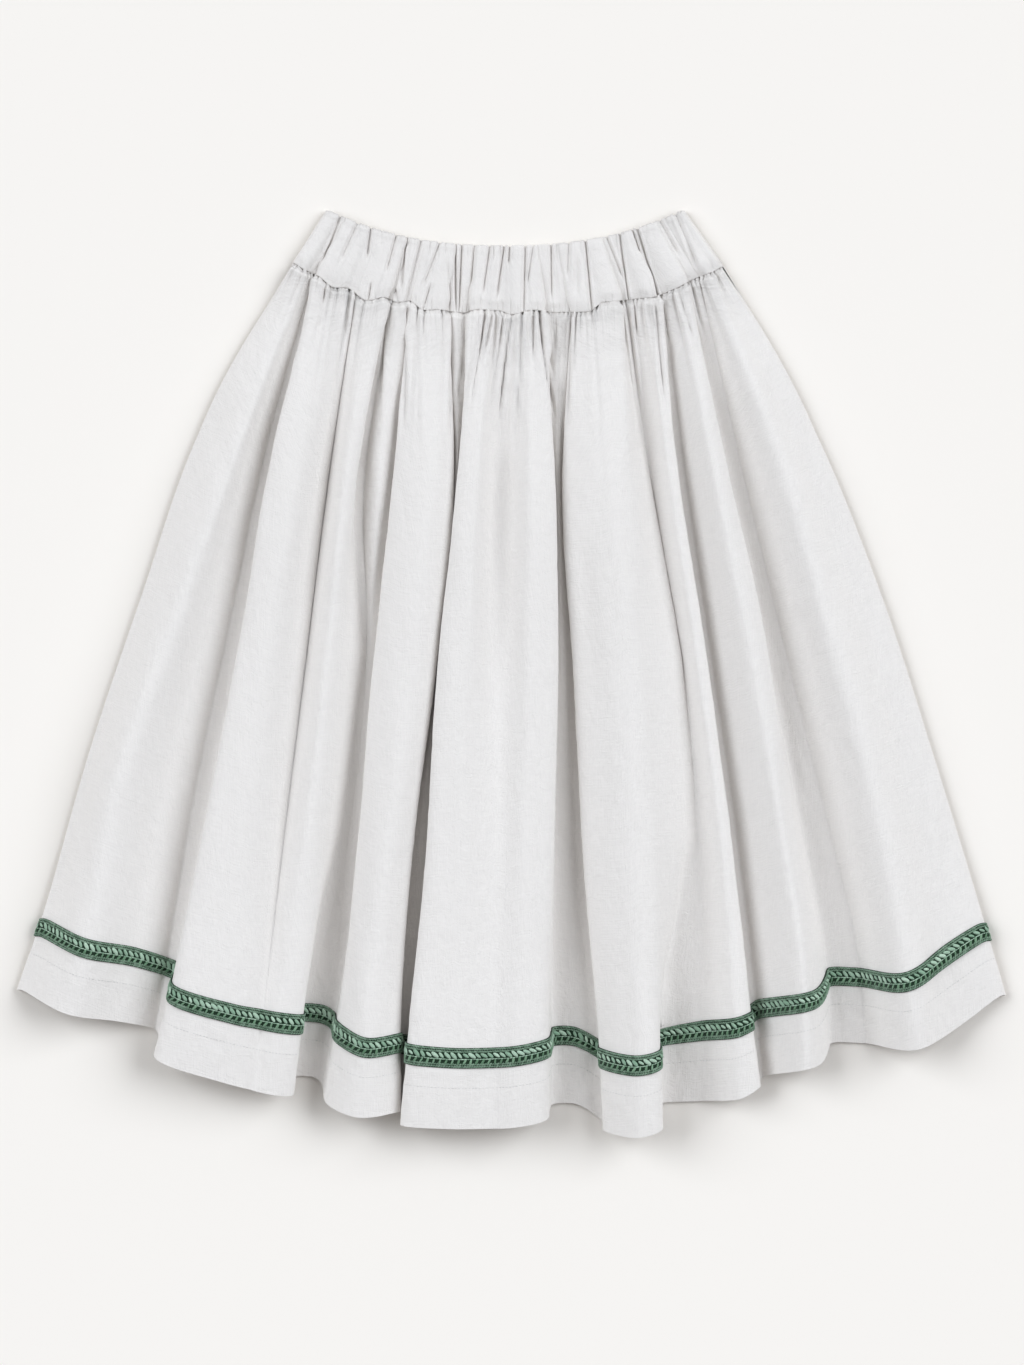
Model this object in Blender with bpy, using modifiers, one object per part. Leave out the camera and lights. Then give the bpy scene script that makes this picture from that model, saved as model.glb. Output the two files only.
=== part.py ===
"""Gathered skirt laid flat: front and back panels, an elastic waistband and a braid above the hem.

The skirt lies on a surface at z = 0 with its waist toward +Y and its front up. Each crosswise section is one
closed loop: along the front from the left side to the right side, then back along the underside. Lengths in
the tables are millimetres, and the finished meshes are metres.
"""

import math
from collections import namedtuple

import bmesh
import bpy
import numpy as np

MM = 0.001

# Cloth walls and the small gap left between sewn pieces.
CLOTH_WALL = 1.2
BAND_WALL = 2.4
BRAID_WALL = 2.0
SEWN_GAP = 0.3
BRAID_LIFT = BRAID_WALL + SEWN_GAP
SIDE_GAP = 0.45

# Waist seam and top edge of the waistband, each a shallow arc that rises toward the sides.
SEAM_CENTRE_Y = 325.0
SEAM_RISE = 41.0
SEAM_CENTRE_X = -4.0
SEAM_HALF = 193.0
TOP_CENTRE_Y = 384.0
TOP_RISE = 32.0
TOP_CENTRE_X = -6.0
TOP_HALF = 160.0
WAIST_ARC = 2.4

# Height of the top edge on the front, and how much of the gathers' height is left in each side's top edge.
TOP_FRONT_HEIGHT = 5.0
TOP_FRONT_PUCKER = 0.35
TOP_BACK_PUCKER = 0.2

# Shares of the way from the waist seam to the hem at which the tables give a section.
STATIONS = (0.0, 0.225, 0.45, 0.675, 0.9, 1.0)
BRAID_TOP = 0.9
BRAID_FOOT = 0.925
PANEL_LEVELS = (1.0, 0.96, 0.925, 0.9, 0.79, 0.675, 0.56, 0.45, 0.34, 0.225, 0.12, 0.04, 0.0)
BAND_LEVELS = (0.0, 0.5, 1.0)

# Height of a line at each station, as a share of its rise: folds open out from the waist toward the hem.
GROWTH = {
    "crown": (0.14, 0.58, 0.82, 0.96, 1.0, 0.95),
    "edge": (0.16, 0.58, 0.80, 0.95, 1.0, 0.95),
    "fading": (0.04, 0.14, 0.42, 0.82, 1.0, 0.97),
    "short": (0.50, 1.0, 0.30, 0.12, 0.1, 0.1),
    "ledge": (0.1, 1.0, 0.7, 0.2, 0.0, 0.0),
    "floor": (0.1, 0.5, 0.9, 1.0, 0.8, 0.6),
}

# Height of the back's middle surface: the casing and the braid, which lie under it, lift it off the surface.
REST_LEVELS = (0.0, 0.04, 0.79, BRAID_TOP, BRAID_FOOT, 1.0)
REST = tuple(CLOTH_WALL / 2 + lift for lift in (BAND_WALL / 2 - CLOTH_WALL / 2, 0, 0, BRAID_LIFT, BRAID_LIFT, 0))

# Heights above that rest, at the stations: the front's lowest line, the side folds, and the turn of a tuck.
FLOOR = (3.4, 2.6, 2.2, 2.2, 2.4, 2.3)
SIDE_HEIGHT = (3.2, 4.0, 4.0, 4.0, 4.0, 3.8)
SIDE_BULGE = (1.8, 3.6, 4.0, 4.2, 4.2, 4.0)
UNDERCUT = (0.4, 3.0, 4.0, 4.5, 4.5, 4.0)
TUCK_TURN = 0.34
TUCK_SLIDE = 0.3
TUCK_FOOT = 0.7
TUCK_RISE = 0.08
SLOPE_FOOT = 1.35
TUCK_FROM = 0.6
TUCK_SPAN = 0.35
SIDE_BOW = 3.0
SHOULDER_RISE = 0.9

# One row for each fold line of the front, from the left side to the right side. x is given at the six stations,
# rise above the floor and y at the braid's top edge, and hem_y at the hem. A line whose name ends in left or right
# is an edge, and its tuck, at the waist and at the hem, is how far the cloth turns in under it, as a share of
# UNDERCUT. Below 0 the cloth slopes outward instead.
Line = namedtuple("Line", "name kind tuck x rise braid_y hem_y")
FRONT_LINES = (
    Line("left_panel", "crown", 0, (-188, -243, -297, -352, -382, -400), 35, -238, -306),
    Line("left_inner", "crown", 0, (-184, -232, -272, -311, -340, -354), 25, -246, -313),
    Line("gap_1", "floor", 0, (-180, -221, -253, -285, -310, -321), 0, -256, -320),
    Line("fold_1_left", "edge", (0.6, 0.9), (-175, -215, -242, -272, -304, -320), 30, -279, -346),
    Line("fold_1", "crown", 0, (-165, -189, -218, -238, -249, -258), 36, -297, -368),
    Line("gap_2", "fading", 0, (-140, -164, -184, -204, -223, -232), 34, -302, -375),
    Line("fold_2", "crown", 0, (-124, -149, -167, -185, -204, -213), 33, -305, -379),
    Line("fold_2_right", "edge", (1, 1), (-113, -140, -155, -169, -188, -197), 27, -306, -379),
    Line("gap_3", "floor", 0, (-107, -132, -145, -161, -181, -190), 5, -297, -362),
    Line("fold_3", "short", 0, (-99, -119, -131, -147, -168, -177), 12, -299, -364),
    Line("fold_4_left", "edge", (1, -0.8), (-90, -107, -120, -137, -155, -166), 22, -313, -387),
    Line("fold_4", "crown", 0, (-74, -74, -89, -112, -131, -138), 38, -327, -399),
    Line("fold_4_right", "edge", (1, 1), (-60, -59, -73, -90, -105, -110), 26, -322, -393),
    Line("gap_4", "floor", 0, (-50, -54, -69, -84, -98, -103), 0, -321, -390),
    Line("fold_5_left", "edge", (1, 1), (-36, -50, -65, -79, -92, -97), 28, -332, -406),
    Line("fold_5", "crown", 0, (-22, -33, -42, -50, -58, -61), 40, -336, -409),
    Line("dip_5", "crown", 0, (-4, -4, -7, -11, -16, -19), 35, -336, -409),
    Line("fold_5_inner", "crown", 0, (15, 17, 16, 12, 6, 2), 39, -334, -408),
    Line("fold_5_right", "edge", (0.3, -1.2), (28, 38, 40, 36, 30, 29), 33, -328, -402),
    Line("gap_5", "ledge", 0, (42, 42, 47, 51, 56, 59), 9, -318, -388),
    Line("fold_6_left", "edge", (0.3, 0.3), (55, 46, 56, 65, 79, 83), 22, -336, -411),
    Line("fold_6", "crown", 0, (76, 80, 93, 101, 106, 108), 40, -343, -417),
    Line("fold_6_right", "edge", (-4.5, 1), (97, 106, 115, 126, 132, 134), 32, -338, -410),
    Line("gap_6", "floor", 0, (111, 125, 143, 161, 168, 168), 0, -313, -385),
    Line("fold_7", "crown", 0, (122, 142, 166, 188, 202, 207), 30, -309, -382),
    Line("fold_7_right", "edge", (1, 0.4), (131, 149, 174, 196, 214, 222), 24, -304, -372),
    Line("gap_7", "floor", 0, (136, 156, 178, 201, 220, 226), 0, -294, -363),
    Line("fold_8", "crown", 0, (149, 181, 208, 240, 258, 263), 37, -287, -356),
    Line("fold_8_slope", "edge", 0, (158, 195, 229, 262, 290, 296), 22, -277, -343),
    Line("gap_8", "floor", 0, (169, 210, 245, 278, 314, 319), 0, -265, -333),
    Line("right_panel", "crown", 0, (177, 237, 283, 325, 354, 364), 36, -268, -338),
    Line("right_outer", "crown", 0, (183, 258, 312, 356, 390, 401), 15, -243, -318),
)
LEFT_SIDE = Line("left_side", "floor", 0, (-197, -280, -332, -381, -423, -445), 0, -221, -285)
RIGHT_SIDE = Line("right_side", "floor", 0, (189, 272, 332, 380, 425, 444), 0, -225, -290)

# The back lies flat between soft creases, each under a fold of the front and named by it. At the waist a crease
# has CREASE_WAIST of its width. The back's braid and hem sag by their drops below a straight line between sides.
Crease = namedtuple("Crease", "under half_width rise")
BACK_CREASES = (
    Crease("right_panel", 16, 5.0),
    Crease("fold_8", 14, 5.0),
    Crease("fold_6", 15, 9.0),
    Crease("dip_5", 20, 9.0),
    Crease("fold_4", 14, 8.0),
    Crease("fold_1", 16, 8.0),
    Crease("left_panel", 16, 5.0),
)
CREASE_GROWTH = (0.0, 0.45, 0.8, 0.95, 0.8, 0.9)
BACK_BRAID_DROP = 100.0
BACK_HEM_DROP = 92.0
BACK_ARCH = 1.2
CREASE_WAIST = 0.3

# Points laid along each span between two neighbouring lines of the section.
SIDE_STEPS = 3
FRONT_STEPS = 2
FRONT_SPAN = 15.0
BACK_STEPS = 3
BACK_SPAN = 40.0


def along(values, level):
    """A value between the stations, by a smooth curve through the table's own values."""
    place = min(max(np.searchsorted(STATIONS, level, side="right") - 1, 0), len(STATIONS) - 2)
    slopes = np.gradient(np.array(values, float), np.array(STATIONS))
    span = STATIONS[place + 1] - STATIONS[place]
    s = (level - STATIONS[place]) / span
    start = values[place] * (1 + 2 * s) * (1 - s) ** 2 + slopes[place] * span * s * (1 - s) ** 2
    end = values[place + 1] * s * s * (3 - 2 * s) + slopes[place + 1] * span * s * s * (s - 1)
    return start + end


def seam_y(x):
    """Height up the sheet of the waist seam at x."""
    return SEAM_CENTRE_Y + SEAM_RISE * min(abs(x - SEAM_CENTRE_X) / SEAM_HALF, 1.0) ** WAIST_ARC


def run_y(start, braid, hem, level):
    """y of a fold line at a level, from the seam through the braid to the hem."""
    if level < BRAID_TOP:
        return start + (braid - start) * level / BRAID_TOP
    return braid + (hem - braid) * (level - BRAID_TOP) / (1 - BRAID_TOP)


def rest_height(level):
    """Height of the back's middle surface where it lies flat."""
    return float(np.interp(level, REST_LEVELS, REST))


def line_point(line, level):
    """Where a fold line crosses a level."""
    height = rest_height(level) + along(FLOOR, level) + line.rise * along(GROWTH[line.kind], level)
    y = run_y(seam_y(line.x[0]), line.braid_y, line.hem_y, level)
    return np.array((along(line.x, level), y, height))


def tuck_share(line, level):
    """An edge's tuck at a level, which eases from its upper value to the one at the hem."""
    upper, hem = line.tuck
    ease = min(max((level - TUCK_FROM) / TUCK_SPAN, 0.0), 1.0)
    return upper + (hem - upper) * ease * ease * (3 - 2 * ease)


def tuck_points(line, beside, level, inward):
    """The turn and the foot of the cloth below an edge, which runs on from the line beside it."""
    edge = line_point(line, level)
    floor = rest_height(level) + along(FLOOR, level)
    tuck = tuck_share(line, level)
    turn_x = inward * tuck * along(UNDERCUT, level)
    foot_x = turn_x * (TUCK_FOOT if tuck > 0 else SLOPE_FOOT)
    share = min(abs(turn_x) / max(UNDERCUT), 1.0)
    foot_y = edge[1] + (line_point(beside, level)[1] - edge[1]) * share
    turn_y = foot_y + TUCK_SLIDE * (edge[1] - foot_y)
    turn = np.array((edge[0] + turn_x, turn_y, floor + TUCK_TURN * (edge[2] - floor)))
    foot = np.array((edge[0] + foot_x, foot_y, floor + TUCK_RISE * (edge[2] - floor)))
    return turn, foot


def front_controls(level):
    """Points that the front's section passes through, with a tuck added below each edge."""
    controls = []
    for index, line in enumerate(FRONT_LINES):
        if line.name.endswith("_left"):
            controls += reversed(tuck_points(line, FRONT_LINES[index - 1], level, 1))
        controls.append(line_point(line, level))
        if line.name.endswith("_right"):
            controls += tuck_points(line, FRONT_LINES[index + 1], level, -1)
    return controls


def side_point(line, level):
    """The point where front and back meet at a side."""
    point = line_point(line, level)
    bow = math.sin(math.pi * min(level / STATIONS[1], 1.0))
    point[0] += math.copysign(SIDE_BOW * bow, line.x[0])
    point[2] = rest_height(level) + along(SIDE_HEIGHT, level)
    return point


def side_shoulder(line, level, inward):
    """A point of the front just inside a side, which rounds the fold there."""
    point = side_point(line, level)
    point[0] += inward * along(SIDE_BULGE, level)
    point[2] += SHOULDER_RISE * along(SIDE_BULGE, level)
    return point


def back_point(x, level, rise):
    """A point of the back at x: flat at rest, lifted by its crease and by the braid under it."""
    left = side_point(LEFT_SIDE, level)
    right = side_point(RIGHT_SIDE, level)
    share = (x - left[0]) / (right[0] - left[0])
    arch = max(math.cos(math.pi * (share - 0.5)), 0.0) ** BACK_ARCH
    braid = LEFT_SIDE.braid_y + (RIGHT_SIDE.braid_y - LEFT_SIDE.braid_y) * share - BACK_BRAID_DROP * arch
    hem = LEFT_SIDE.hem_y + (RIGHT_SIDE.hem_y - LEFT_SIDE.hem_y) * share - BACK_HEM_DROP * arch
    seam_x = LEFT_SIDE.x[0] + (RIGHT_SIDE.x[0] - LEFT_SIDE.x[0]) * share
    y = run_y(seam_y(seam_x), braid, hem, level)
    return np.array((x, y, rest_height(level) + rise * along(CREASE_GROWTH, level)))


def back_controls(level):
    """Points that the back's section passes through, from the right side to the left."""
    lines = {line.name: line for line in FRONT_LINES}
    controls = [back_point(side_point(RIGHT_SIDE, level)[0] - along(SIDE_BULGE, level), level, 0.0)]
    for crease in BACK_CREASES:
        centre = line_point(lines[crease.under], level)[0]
        half = crease.half_width * (CREASE_WAIST + (1 - CREASE_WAIST) * level)
        controls.append(back_point(centre + half, level, 0.0))
        controls.append(back_point(centre, level, crease.rise))
        controls.append(back_point(centre - half, level, 0.0))
    controls.append(back_point(side_point(LEFT_SIDE, level)[0] + along(SIDE_BULGE, level), level, 0.0))
    return controls


def smooth_span(before, start, end, after, steps):
    """Points from start toward end on a centripetal Catmull-Rom curve, without the end."""
    knots = [0.0]
    for one, two in ((before, start), (start, end), (end, after)):
        knots.append(knots[-1] + math.sqrt(max(np.linalg.norm(two - one), 1e-6)))
    out_of = (start - before) / (knots[1] - knots[0]) - (end - before) / (knots[2] - knots[0])
    into = (end - start) / (knots[2] - knots[1]) - (after - start) / (knots[3] - knots[1])
    middle = (end - start) / (knots[2] - knots[1])
    span = knots[2] - knots[1]
    leave = (out_of + middle) * span
    arrive = (into + (after - end) / (knots[3] - knots[2])) * span
    points = []
    for step in range(steps):
        s = step / steps
        blend = start * (1 + 2 * s) * (1 - s) ** 2 + end * s * s * (3 - 2 * s)
        points.append(blend + leave * s * (1 - s) ** 2 + arrive * s * s * (s - 1))
    return points


def ring(level):
    """The closed section's own lines, and how many of them lie on the front."""
    left = side_point(LEFT_SIDE, level)
    right = side_point(RIGHT_SIDE, level)
    front = [left, side_shoulder(LEFT_SIDE, level, 1)] + front_controls(level)
    front += [side_shoulder(RIGHT_SIDE, level, -1), right]
    return front + back_controls(level), len(front)


def span_steps():
    """How many points each span of the section gets, which is the same at every level."""
    lines, front_lines = ring(1.0)
    steps = []
    for index, line in enumerate(lines):
        length = np.linalg.norm(lines[(index + 1) % len(lines)] - line)
        if index < front_lines:
            steps.append(FRONT_STEPS if length > FRONT_SPAN else 1)
        else:
            steps.append(BACK_STEPS if length > BACK_SPAN else 1)
    for side in (0, front_lines - 2, front_lines - 1, len(lines) - 1):
        steps[side] = SIDE_STEPS
    return steps, sum(steps[: front_lines - 1])


def section(level, steps, front_count):
    """One closed section, its front's points before its back's."""
    lines, _ = ring(level)
    points = []
    for index, count in enumerate(steps):
        around = [lines[(index + offset) % len(lines)] for offset in (-1, 0, 1, 2)]
        points += smooth_span(*around, count)
    points = np.array(points)
    rest = rest_height(level)
    lowest = np.full(len(points), rest)
    lowest[1 : front_count] = rest + along(FLOOR, level)
    points[:, 2] = np.maximum(points[:, 2], lowest)
    return points


def outward(rows):
    """Steps of unit depth out of closed rows of points, longer where the cloth turns so that depth stays even."""
    ahead = np.cross(np.roll(rows, -1, axis=1) - rows, np.gradient(rows, axis=0))
    ahead /= np.linalg.norm(ahead, axis=2, keepdims=True)
    behind = np.roll(ahead, 1, axis=1)
    turn = 1 + np.sum(ahead * behind, axis=2, keepdims=True)
    return (ahead + behind) / np.maximum(turn, 0.8)


def waistband_rows(seam_section, front_count):
    """Rows of the casing, from the waist seam, where it follows the gathers, to its top edge."""
    share = (seam_section[:, 0] - SEAM_CENTRE_X) / SEAM_HALF
    on_front = np.arange(len(seam_section)) <= front_count
    base = np.where(on_front, TOP_FRONT_HEIGHT, BAND_WALL / 2)
    pucker = np.where(on_front, TOP_FRONT_PUCKER, TOP_BACK_PUCKER)
    top = seam_section.copy()
    top[:, 0] = TOP_CENTRE_X + TOP_HALF * share
    top[:, 1] = TOP_CENTRE_Y + TOP_RISE * np.abs(share) ** WAIST_ARC
    top[:, 2] = base + pucker * (seam_section[:, 2] - seam_section[:, 2].min())
    return np.array([seam_section + (top - seam_section) * level for level in BAND_LEVELS])


def material(name, colour, roughness):
    """A plain cloth material."""
    made = bpy.data.materials.new(name)
    made.use_nodes = True
    shader = made.node_tree.nodes["Principled BSDF"]
    shader.inputs["Base Color"].default_value = (*colour, 1.0)
    shader.inputs["Roughness"].default_value = roughness
    shader.inputs["Metallic"].default_value = 0.0
    return made


def sheet(name, rows, closed, wall, look, collection):
    """A cloth piece: a grid laid on rows of points and thickened to its wall."""
    if closed:
        rows = np.concatenate([rows, rows[:, :1]], axis=1)
    last_row = rows.shape[0] - 1
    last_column = rows.shape[1] - 1
    bm = bmesh.new()
    bmesh.ops.create_grid(bm, x_segments=last_column, y_segments=last_row, size=1.0)
    for vert in bm.verts:
        column = round((vert.co.x + 1) / 2 * last_column)
        row = round((vert.co.y + 1) / 2 * last_row)
        vert.co = rows[row, column] * MM
    if closed:
        bmesh.ops.remove_doubles(bm, verts=bm.verts, dist=1e-7)
    mesh = bpy.data.meshes.new(name)
    bm.to_mesh(mesh)
    bm.free()
    mesh.materials.append(look)
    piece = bpy.data.objects.new(name, mesh)
    collection.objects.link(piece)
    shell = piece.modifiers.new("Wall", "SOLIDIFY")
    shell.thickness = wall * MM
    shell.offset = 0.0
    return piece


def build():
    """Clears the scene and makes the four sewn pieces."""
    for old in list(bpy.data.objects):
        bpy.data.objects.remove(old, do_unlink=True)
    collection = bpy.data.collections.new("gathered_skirt")
    bpy.context.scene.collection.children.link(collection)

    cotton = material("white_cotton", (0.80, 0.80, 0.82), 0.9)
    braid = material("green_braid", (0.17, 0.27, 0.19), 0.85)

    steps, front_count = span_steps()
    rows = np.array([section(level, steps, front_count) for level in PANEL_LEVELS])

    front = rows[:, : front_count + 1].copy()
    front[:, 0, 2] += SIDE_GAP
    front[:, -1, 2] += SIDE_GAP
    front[-1, :, 1] -= SEWN_GAP
    sheet("skirt_front", front, False, CLOTH_WALL, cotton, collection)

    back = np.concatenate([rows[:, front_count:], rows[:, :1]], axis=1)
    back[:, 0, 2] -= SIDE_GAP
    back[:, -1, 2] -= SIDE_GAP
    back[-1, :, 1] -= SEWN_GAP
    sheet("skirt_back", back, False, CLOTH_WALL, cotton, collection)

    foot = PANEL_LEVELS.index(BRAID_FOOT)
    top = PANEL_LEVELS.index(BRAID_TOP)
    out = CLOTH_WALL / 2 + SEWN_GAP + BRAID_WALL / 2
    strip = rows[foot : top + 1] + outward(rows)[foot : top + 1] * out
    sheet("braid_trim", strip, True, BRAID_WALL, braid, collection)

    band = waistband_rows(rows[-1], front_count)
    band[0, :, 1] += SEWN_GAP
    sheet("waistband", band, True, BAND_WALL, cotton, collection)


build()
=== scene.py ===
# %% [markdown]
# # A gathered white skirt with a green braid, laid flat
#
# This lesson dresses a plain model of a skirt. The plain model, the frame, holds four solids that fix every
# size: a front panel, a back panel, a waistband and a braid. Here each of them is replaced by cloth with
# its real creases, gathers, weave and stitches. The skirt lies on the floor at z = 0, its waist toward +Y,
# its front up.

# %% Load the frame
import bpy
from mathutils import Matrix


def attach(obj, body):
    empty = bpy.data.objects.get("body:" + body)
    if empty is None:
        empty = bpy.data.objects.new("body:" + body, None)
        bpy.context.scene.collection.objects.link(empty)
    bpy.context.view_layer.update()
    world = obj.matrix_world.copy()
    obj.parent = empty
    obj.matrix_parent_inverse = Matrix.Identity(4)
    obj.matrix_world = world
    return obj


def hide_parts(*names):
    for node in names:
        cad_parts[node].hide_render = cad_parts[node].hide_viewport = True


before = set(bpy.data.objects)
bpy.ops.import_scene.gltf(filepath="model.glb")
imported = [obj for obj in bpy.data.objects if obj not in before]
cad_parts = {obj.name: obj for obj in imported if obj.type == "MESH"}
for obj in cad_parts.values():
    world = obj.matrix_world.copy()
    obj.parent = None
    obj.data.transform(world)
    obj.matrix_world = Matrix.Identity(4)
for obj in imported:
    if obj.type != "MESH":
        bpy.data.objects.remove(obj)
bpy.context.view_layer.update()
print("frame nodes:", sorted(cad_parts))

# %% Modules and units
import math
from collections import namedtuple

import bpy
import numpy as np
from mathutils import Vector

MM = 0.001
BODY = "root"

# %% [markdown]
# ## The fold lines
#
# A gathered skirt laid down falls into folds that start at the waist and widen toward the hem. A cloth
# simulation would make such folds, but it lets them fall where they like, and these folds have their
# places. So they are described by a table of lines that run from waist to hem: the crown of each fold, the
# edge where a fold turns under, and the floor of each gap. Six stations down the skirt give a place for
# every line, and smooth curves join them, so a fold can be nudged by changing one number. A line's height
# is its rise times the growth of its kind. Its tuck says how far an edge turns under, as a share of the
# undercut: two values, one for the upper skirt and one for the hem, or one at each station. All lengths in
# the tables are millimetres.

# %% The table of fold lines
STATIONS = np.array((0.0, 0.225, 0.45, 0.675, 0.9, 1.0))
BRAID_TOP = 0.9
BRAID_FOOT = 0.925
GROWTH = {
    "crown": (0.14, 0.72, 0.88, 0.98, 1.0, 0.95),
    "edge": (0.16, 0.70, 0.86, 0.97, 1.0, 0.95),
    "dip": (0.05, 0.32, 0.66, 0.90, 0.97, 0.93),
    "fading": (0.02, 0.06, 0.22, 0.48, 0.8, 0.88),
    "short": (0.50, 1.0, 0.10, 0.0, 0.1, 0.1),
    "shelf": (0.0, 0.1, 1.0, 1.0, 0.6, 0.1),
    "ledge": (0.1, 1.0, 0.7, 0.2, 0.0, 0.0),
    "floor": (0.1, 0.5, 0.9, 1.0, 0.8, 0.6),
}
Line = namedtuple("Line", "name kind tuck x rise braid_y hem_y")
FRONT_LINES = (
    Line("left_panel", "crown", 0, (-188, -243, -297, -352, -382, -400), 35, -238, -306),
    Line("left_inner", "crown", 0, (-184, -232, -272, -311, -340, -354), 16, -246, -313),
    Line("gap_1", "floor", 0, (-180, -221, -253, -285, -310, -321), 0, -256, -320),
    Line("fold_1_left", "edge", (0.6, 0.9), (-175, -215, -242, -272, -304, -320), 30, -279, -346),
    Line("fold_1", "crown", 0, (-165, -189, -218, -238, -249, -258), 36, -297, -368),
    Line("gap_2", "fading", 0, (-140, -164, -184, -204, -223, -232), 34, -302, -375),
    Line("fold_2", "crown", 0, (-124, -149, -167, -185, -204, -213), 33, -305, -379),
    Line("fold_2_right", "edge", (1, 1, -4, -2.5, 1, 1),
         (-113, -140, -155, -169, -188, -197), 27, -306, -379),
    Line("gap_3", "floor", 0, (-107, -132, -131, -146, -181, -190), 0, -297, -362),
    Line("fold_3", "short", 0, (-99, -119, -128, -143, -168, -177), 12, -299, -364),
    Line("fold_4_left", "edge", (1, -0.8), (-90, -107, -124, -138, -155, -166), 22, -313, -387),
    Line("fold_4", "crown", 0, (-74, -74, -89, -112, -131, -138), 38, -327, -399),
    Line("fold_4_right", "edge", (0.3, 0.3), (-60, -53, -69, -90, -101, -101), 24, -323, -394),
    Line("gap_4", "ledge", 0, (-50, -51, -67, -84, -97, -100), 12, -325, -396),
    Line("fold_5_left", "edge", (1, 1), (-36, -50, -67, -77, -93, -99), 34, -332, -406),
    Line("fold_5", "crown", 0, (-22, -33, -42, -50, -58, -61), 40, -336, -409),
    Line("dip_5", "dip", 0, (-8, -11, -11, -13, -18, -20), 35, -336, -409),
    Line("fold_5_inner", "crown", 0, (15, 17, 16, 12, 6, 2), 39, -334, -408),
    Line("fold_5_right", "edge", (0.3, -1.2), (28, 38, 40, 36, 30, 29), 33, -328, -402),
    Line("gap_5", "ledge", 0, (42, 42, 47, 51, 56, 59), 5, -318, -388),
    Line("fold_6_left", "edge", (0.3, 0.3), (55, 46, 56, 65, 79, 83), 17, -336, -411),
    Line("fold_6", "crown", 0, (76, 86, 100, 109, 113, 114), 40, -343, -417),
    Line("fold_6_right", "edge", (-1, -4.5, -7, -6, 0.7, 1), (97, 106, 115, 126, 132, 134), 37, -338, -410),
    Line("gap_6", "shelf", 0, (111, 125, 153, 168, 168, 168), 5, -313, -385),
    Line("fold_7", "crown", 0, (122, 142, 166, 188, 202, 207), 24, -309, -382),
    Line("fold_7_right", "edge", (1, 0.4), (131, 149, 174, 196, 214, 222), 20, -304, -372),
    Line("gap_7", "floor", 0, (136, 156, 178, 201, 220, 226), 0, -294, -363),
    Line("fold_8", "crown", 0, (149, 180, 212, 240, 262, 264), 37, -287, -356),
    Line("fold_8_right", "edge", (0.5, 0.5, 0.3, -1, -1.8, -1.8),
         (157, 191, 226, 249, 273, 277), 28, -283, -351),
    Line("gap_8", "floor", 0, (169, 203, 240, 278, 313, 319), 0, -265, -333),
    Line("right_panel", "crown", 0, (177, 237, 283, 325, 354, 364), 36, -268, -338),
    Line("right_outer", "crown", 0, (183, 258, 312, 356, 390, 401), 15, -243, -318),
)
LEFT_SIDE = Line("left_side", "floor", 0, (-197, -280, -332, -381, -423, -445), 0, -221, -285)
RIGHT_SIDE = Line("right_side", "floor", 0, (189, 272, 332, 380, 425, 444), 0, -225, -290)
Crease = namedtuple("Crease", "under half_width rise")
BACK_CREASES = (
    Crease("right_panel", 16, 5.0),
    Crease("fold_8", 14, 5.0),
    Crease("fold_6", 15, 9.0),
    Crease("dip_5", 20, 9.0),
    Crease("fold_4", 14, 8.0),
    Crease("fold_1", 16, 8.0),
    Crease("left_panel", 16, 5.0),
)
print(len(FRONT_LINES), "lines on the front,", len(BACK_CREASES), "soft creases under it")

# %% [markdown]
# ## Heights, walls and the waist's arcs
#
# Cloth has a thickness, and sewn pieces keep a small gap here, so that none cuts through another. The back
# rests on the floor, the front lies on the back, and the casing and the braid lift the cloth a little where
# they pass under it. Those heights change down the skirt, so they are rows of six values too. The seam and
# the waist's top edge are arcs, and the gathers pull the seam into small dips.

# %% Heights, walls and arcs
CLOTH = 0.7
HEM_CLOTH = 1.4
BAND_WALL = 2.4
BRAID_LIFT = 2.3
SEWN_GAP = 0.3
SIDE_GAP = 0.38
CREASE_GROWTH = (0.0, 0.45, 0.8, 0.95, 0.8, 0.9)
CREASE_WAIST = 0.3
BACK_BRAID_DROP = 100.0
BACK_HEM_DROP = 92.0
BACK_ARCH = 1.2
REST_LEVELS = (0.0, 0.04, 0.79, BRAID_TOP, BRAID_FOOT, 1.0)
REST = (1.2, 0.6, 0.6, 0.6 + BRAID_LIFT, 0.6 + BRAID_LIFT, 0.6)
FLOOR = (3.4, 2.6, 2.2, 2.2, 2.4, 2.3)
SIDE_HEIGHT = (3.2, 4.0, 4.0, 4.0, 4.0, 3.8)
SIDE_BULGE = (1.8, 3.6, 4.0, 4.2, 4.2, 4.0)
UNDERCUT = (0.4, 3.0, 4.0, 4.5, 4.5, 4.0)
TUCK_TURN = 0.34
TUCK_SLIDE = 0.3
TUCK_FOOT = 0.7
SLOPE_FOOT = 1.35
TUCK_RISE = 0.08
TUCK_CHANGES = (0.6, 0.95)
SIDE_BOW = 3.0
SHOULDER_RISE = 0.9
SEAM_CENTRE = (-4.0, 325.0)
SEAM_HALF = 193.0
SEAM_RISE = 41.0
TOP_CENTRE = (-6.0, 384.0)
TOP_HALF = 160.0
TOP_RISE = 32.0
WAIST_ARC = 2.4
SEAM_DIPS = (  # x, and how far the seam is pulled up there
    (-196, 2), (-174, 1.5), (-162, -3.5), (-148, 0.5), (-132, -5), (-113, 2), (-103, 0), (-92, 3.5),
    (-80, -3), (-65, -1), (-45, -2), (-30, 1.5), (-12, 1), (0, -2.5), (18, 1), (42, -2), (70, -4),
    (82, 2.5), (95, 1), (112, -0.5), (130, -3.5), (148, -2), (163, 0), (189, -1.5),
)
print("cloth", CLOTH, "mm thick,", HEM_CLOTH, "mm in the hem; the seam is", 2 * SEAM_HALF, "mm across")

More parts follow.
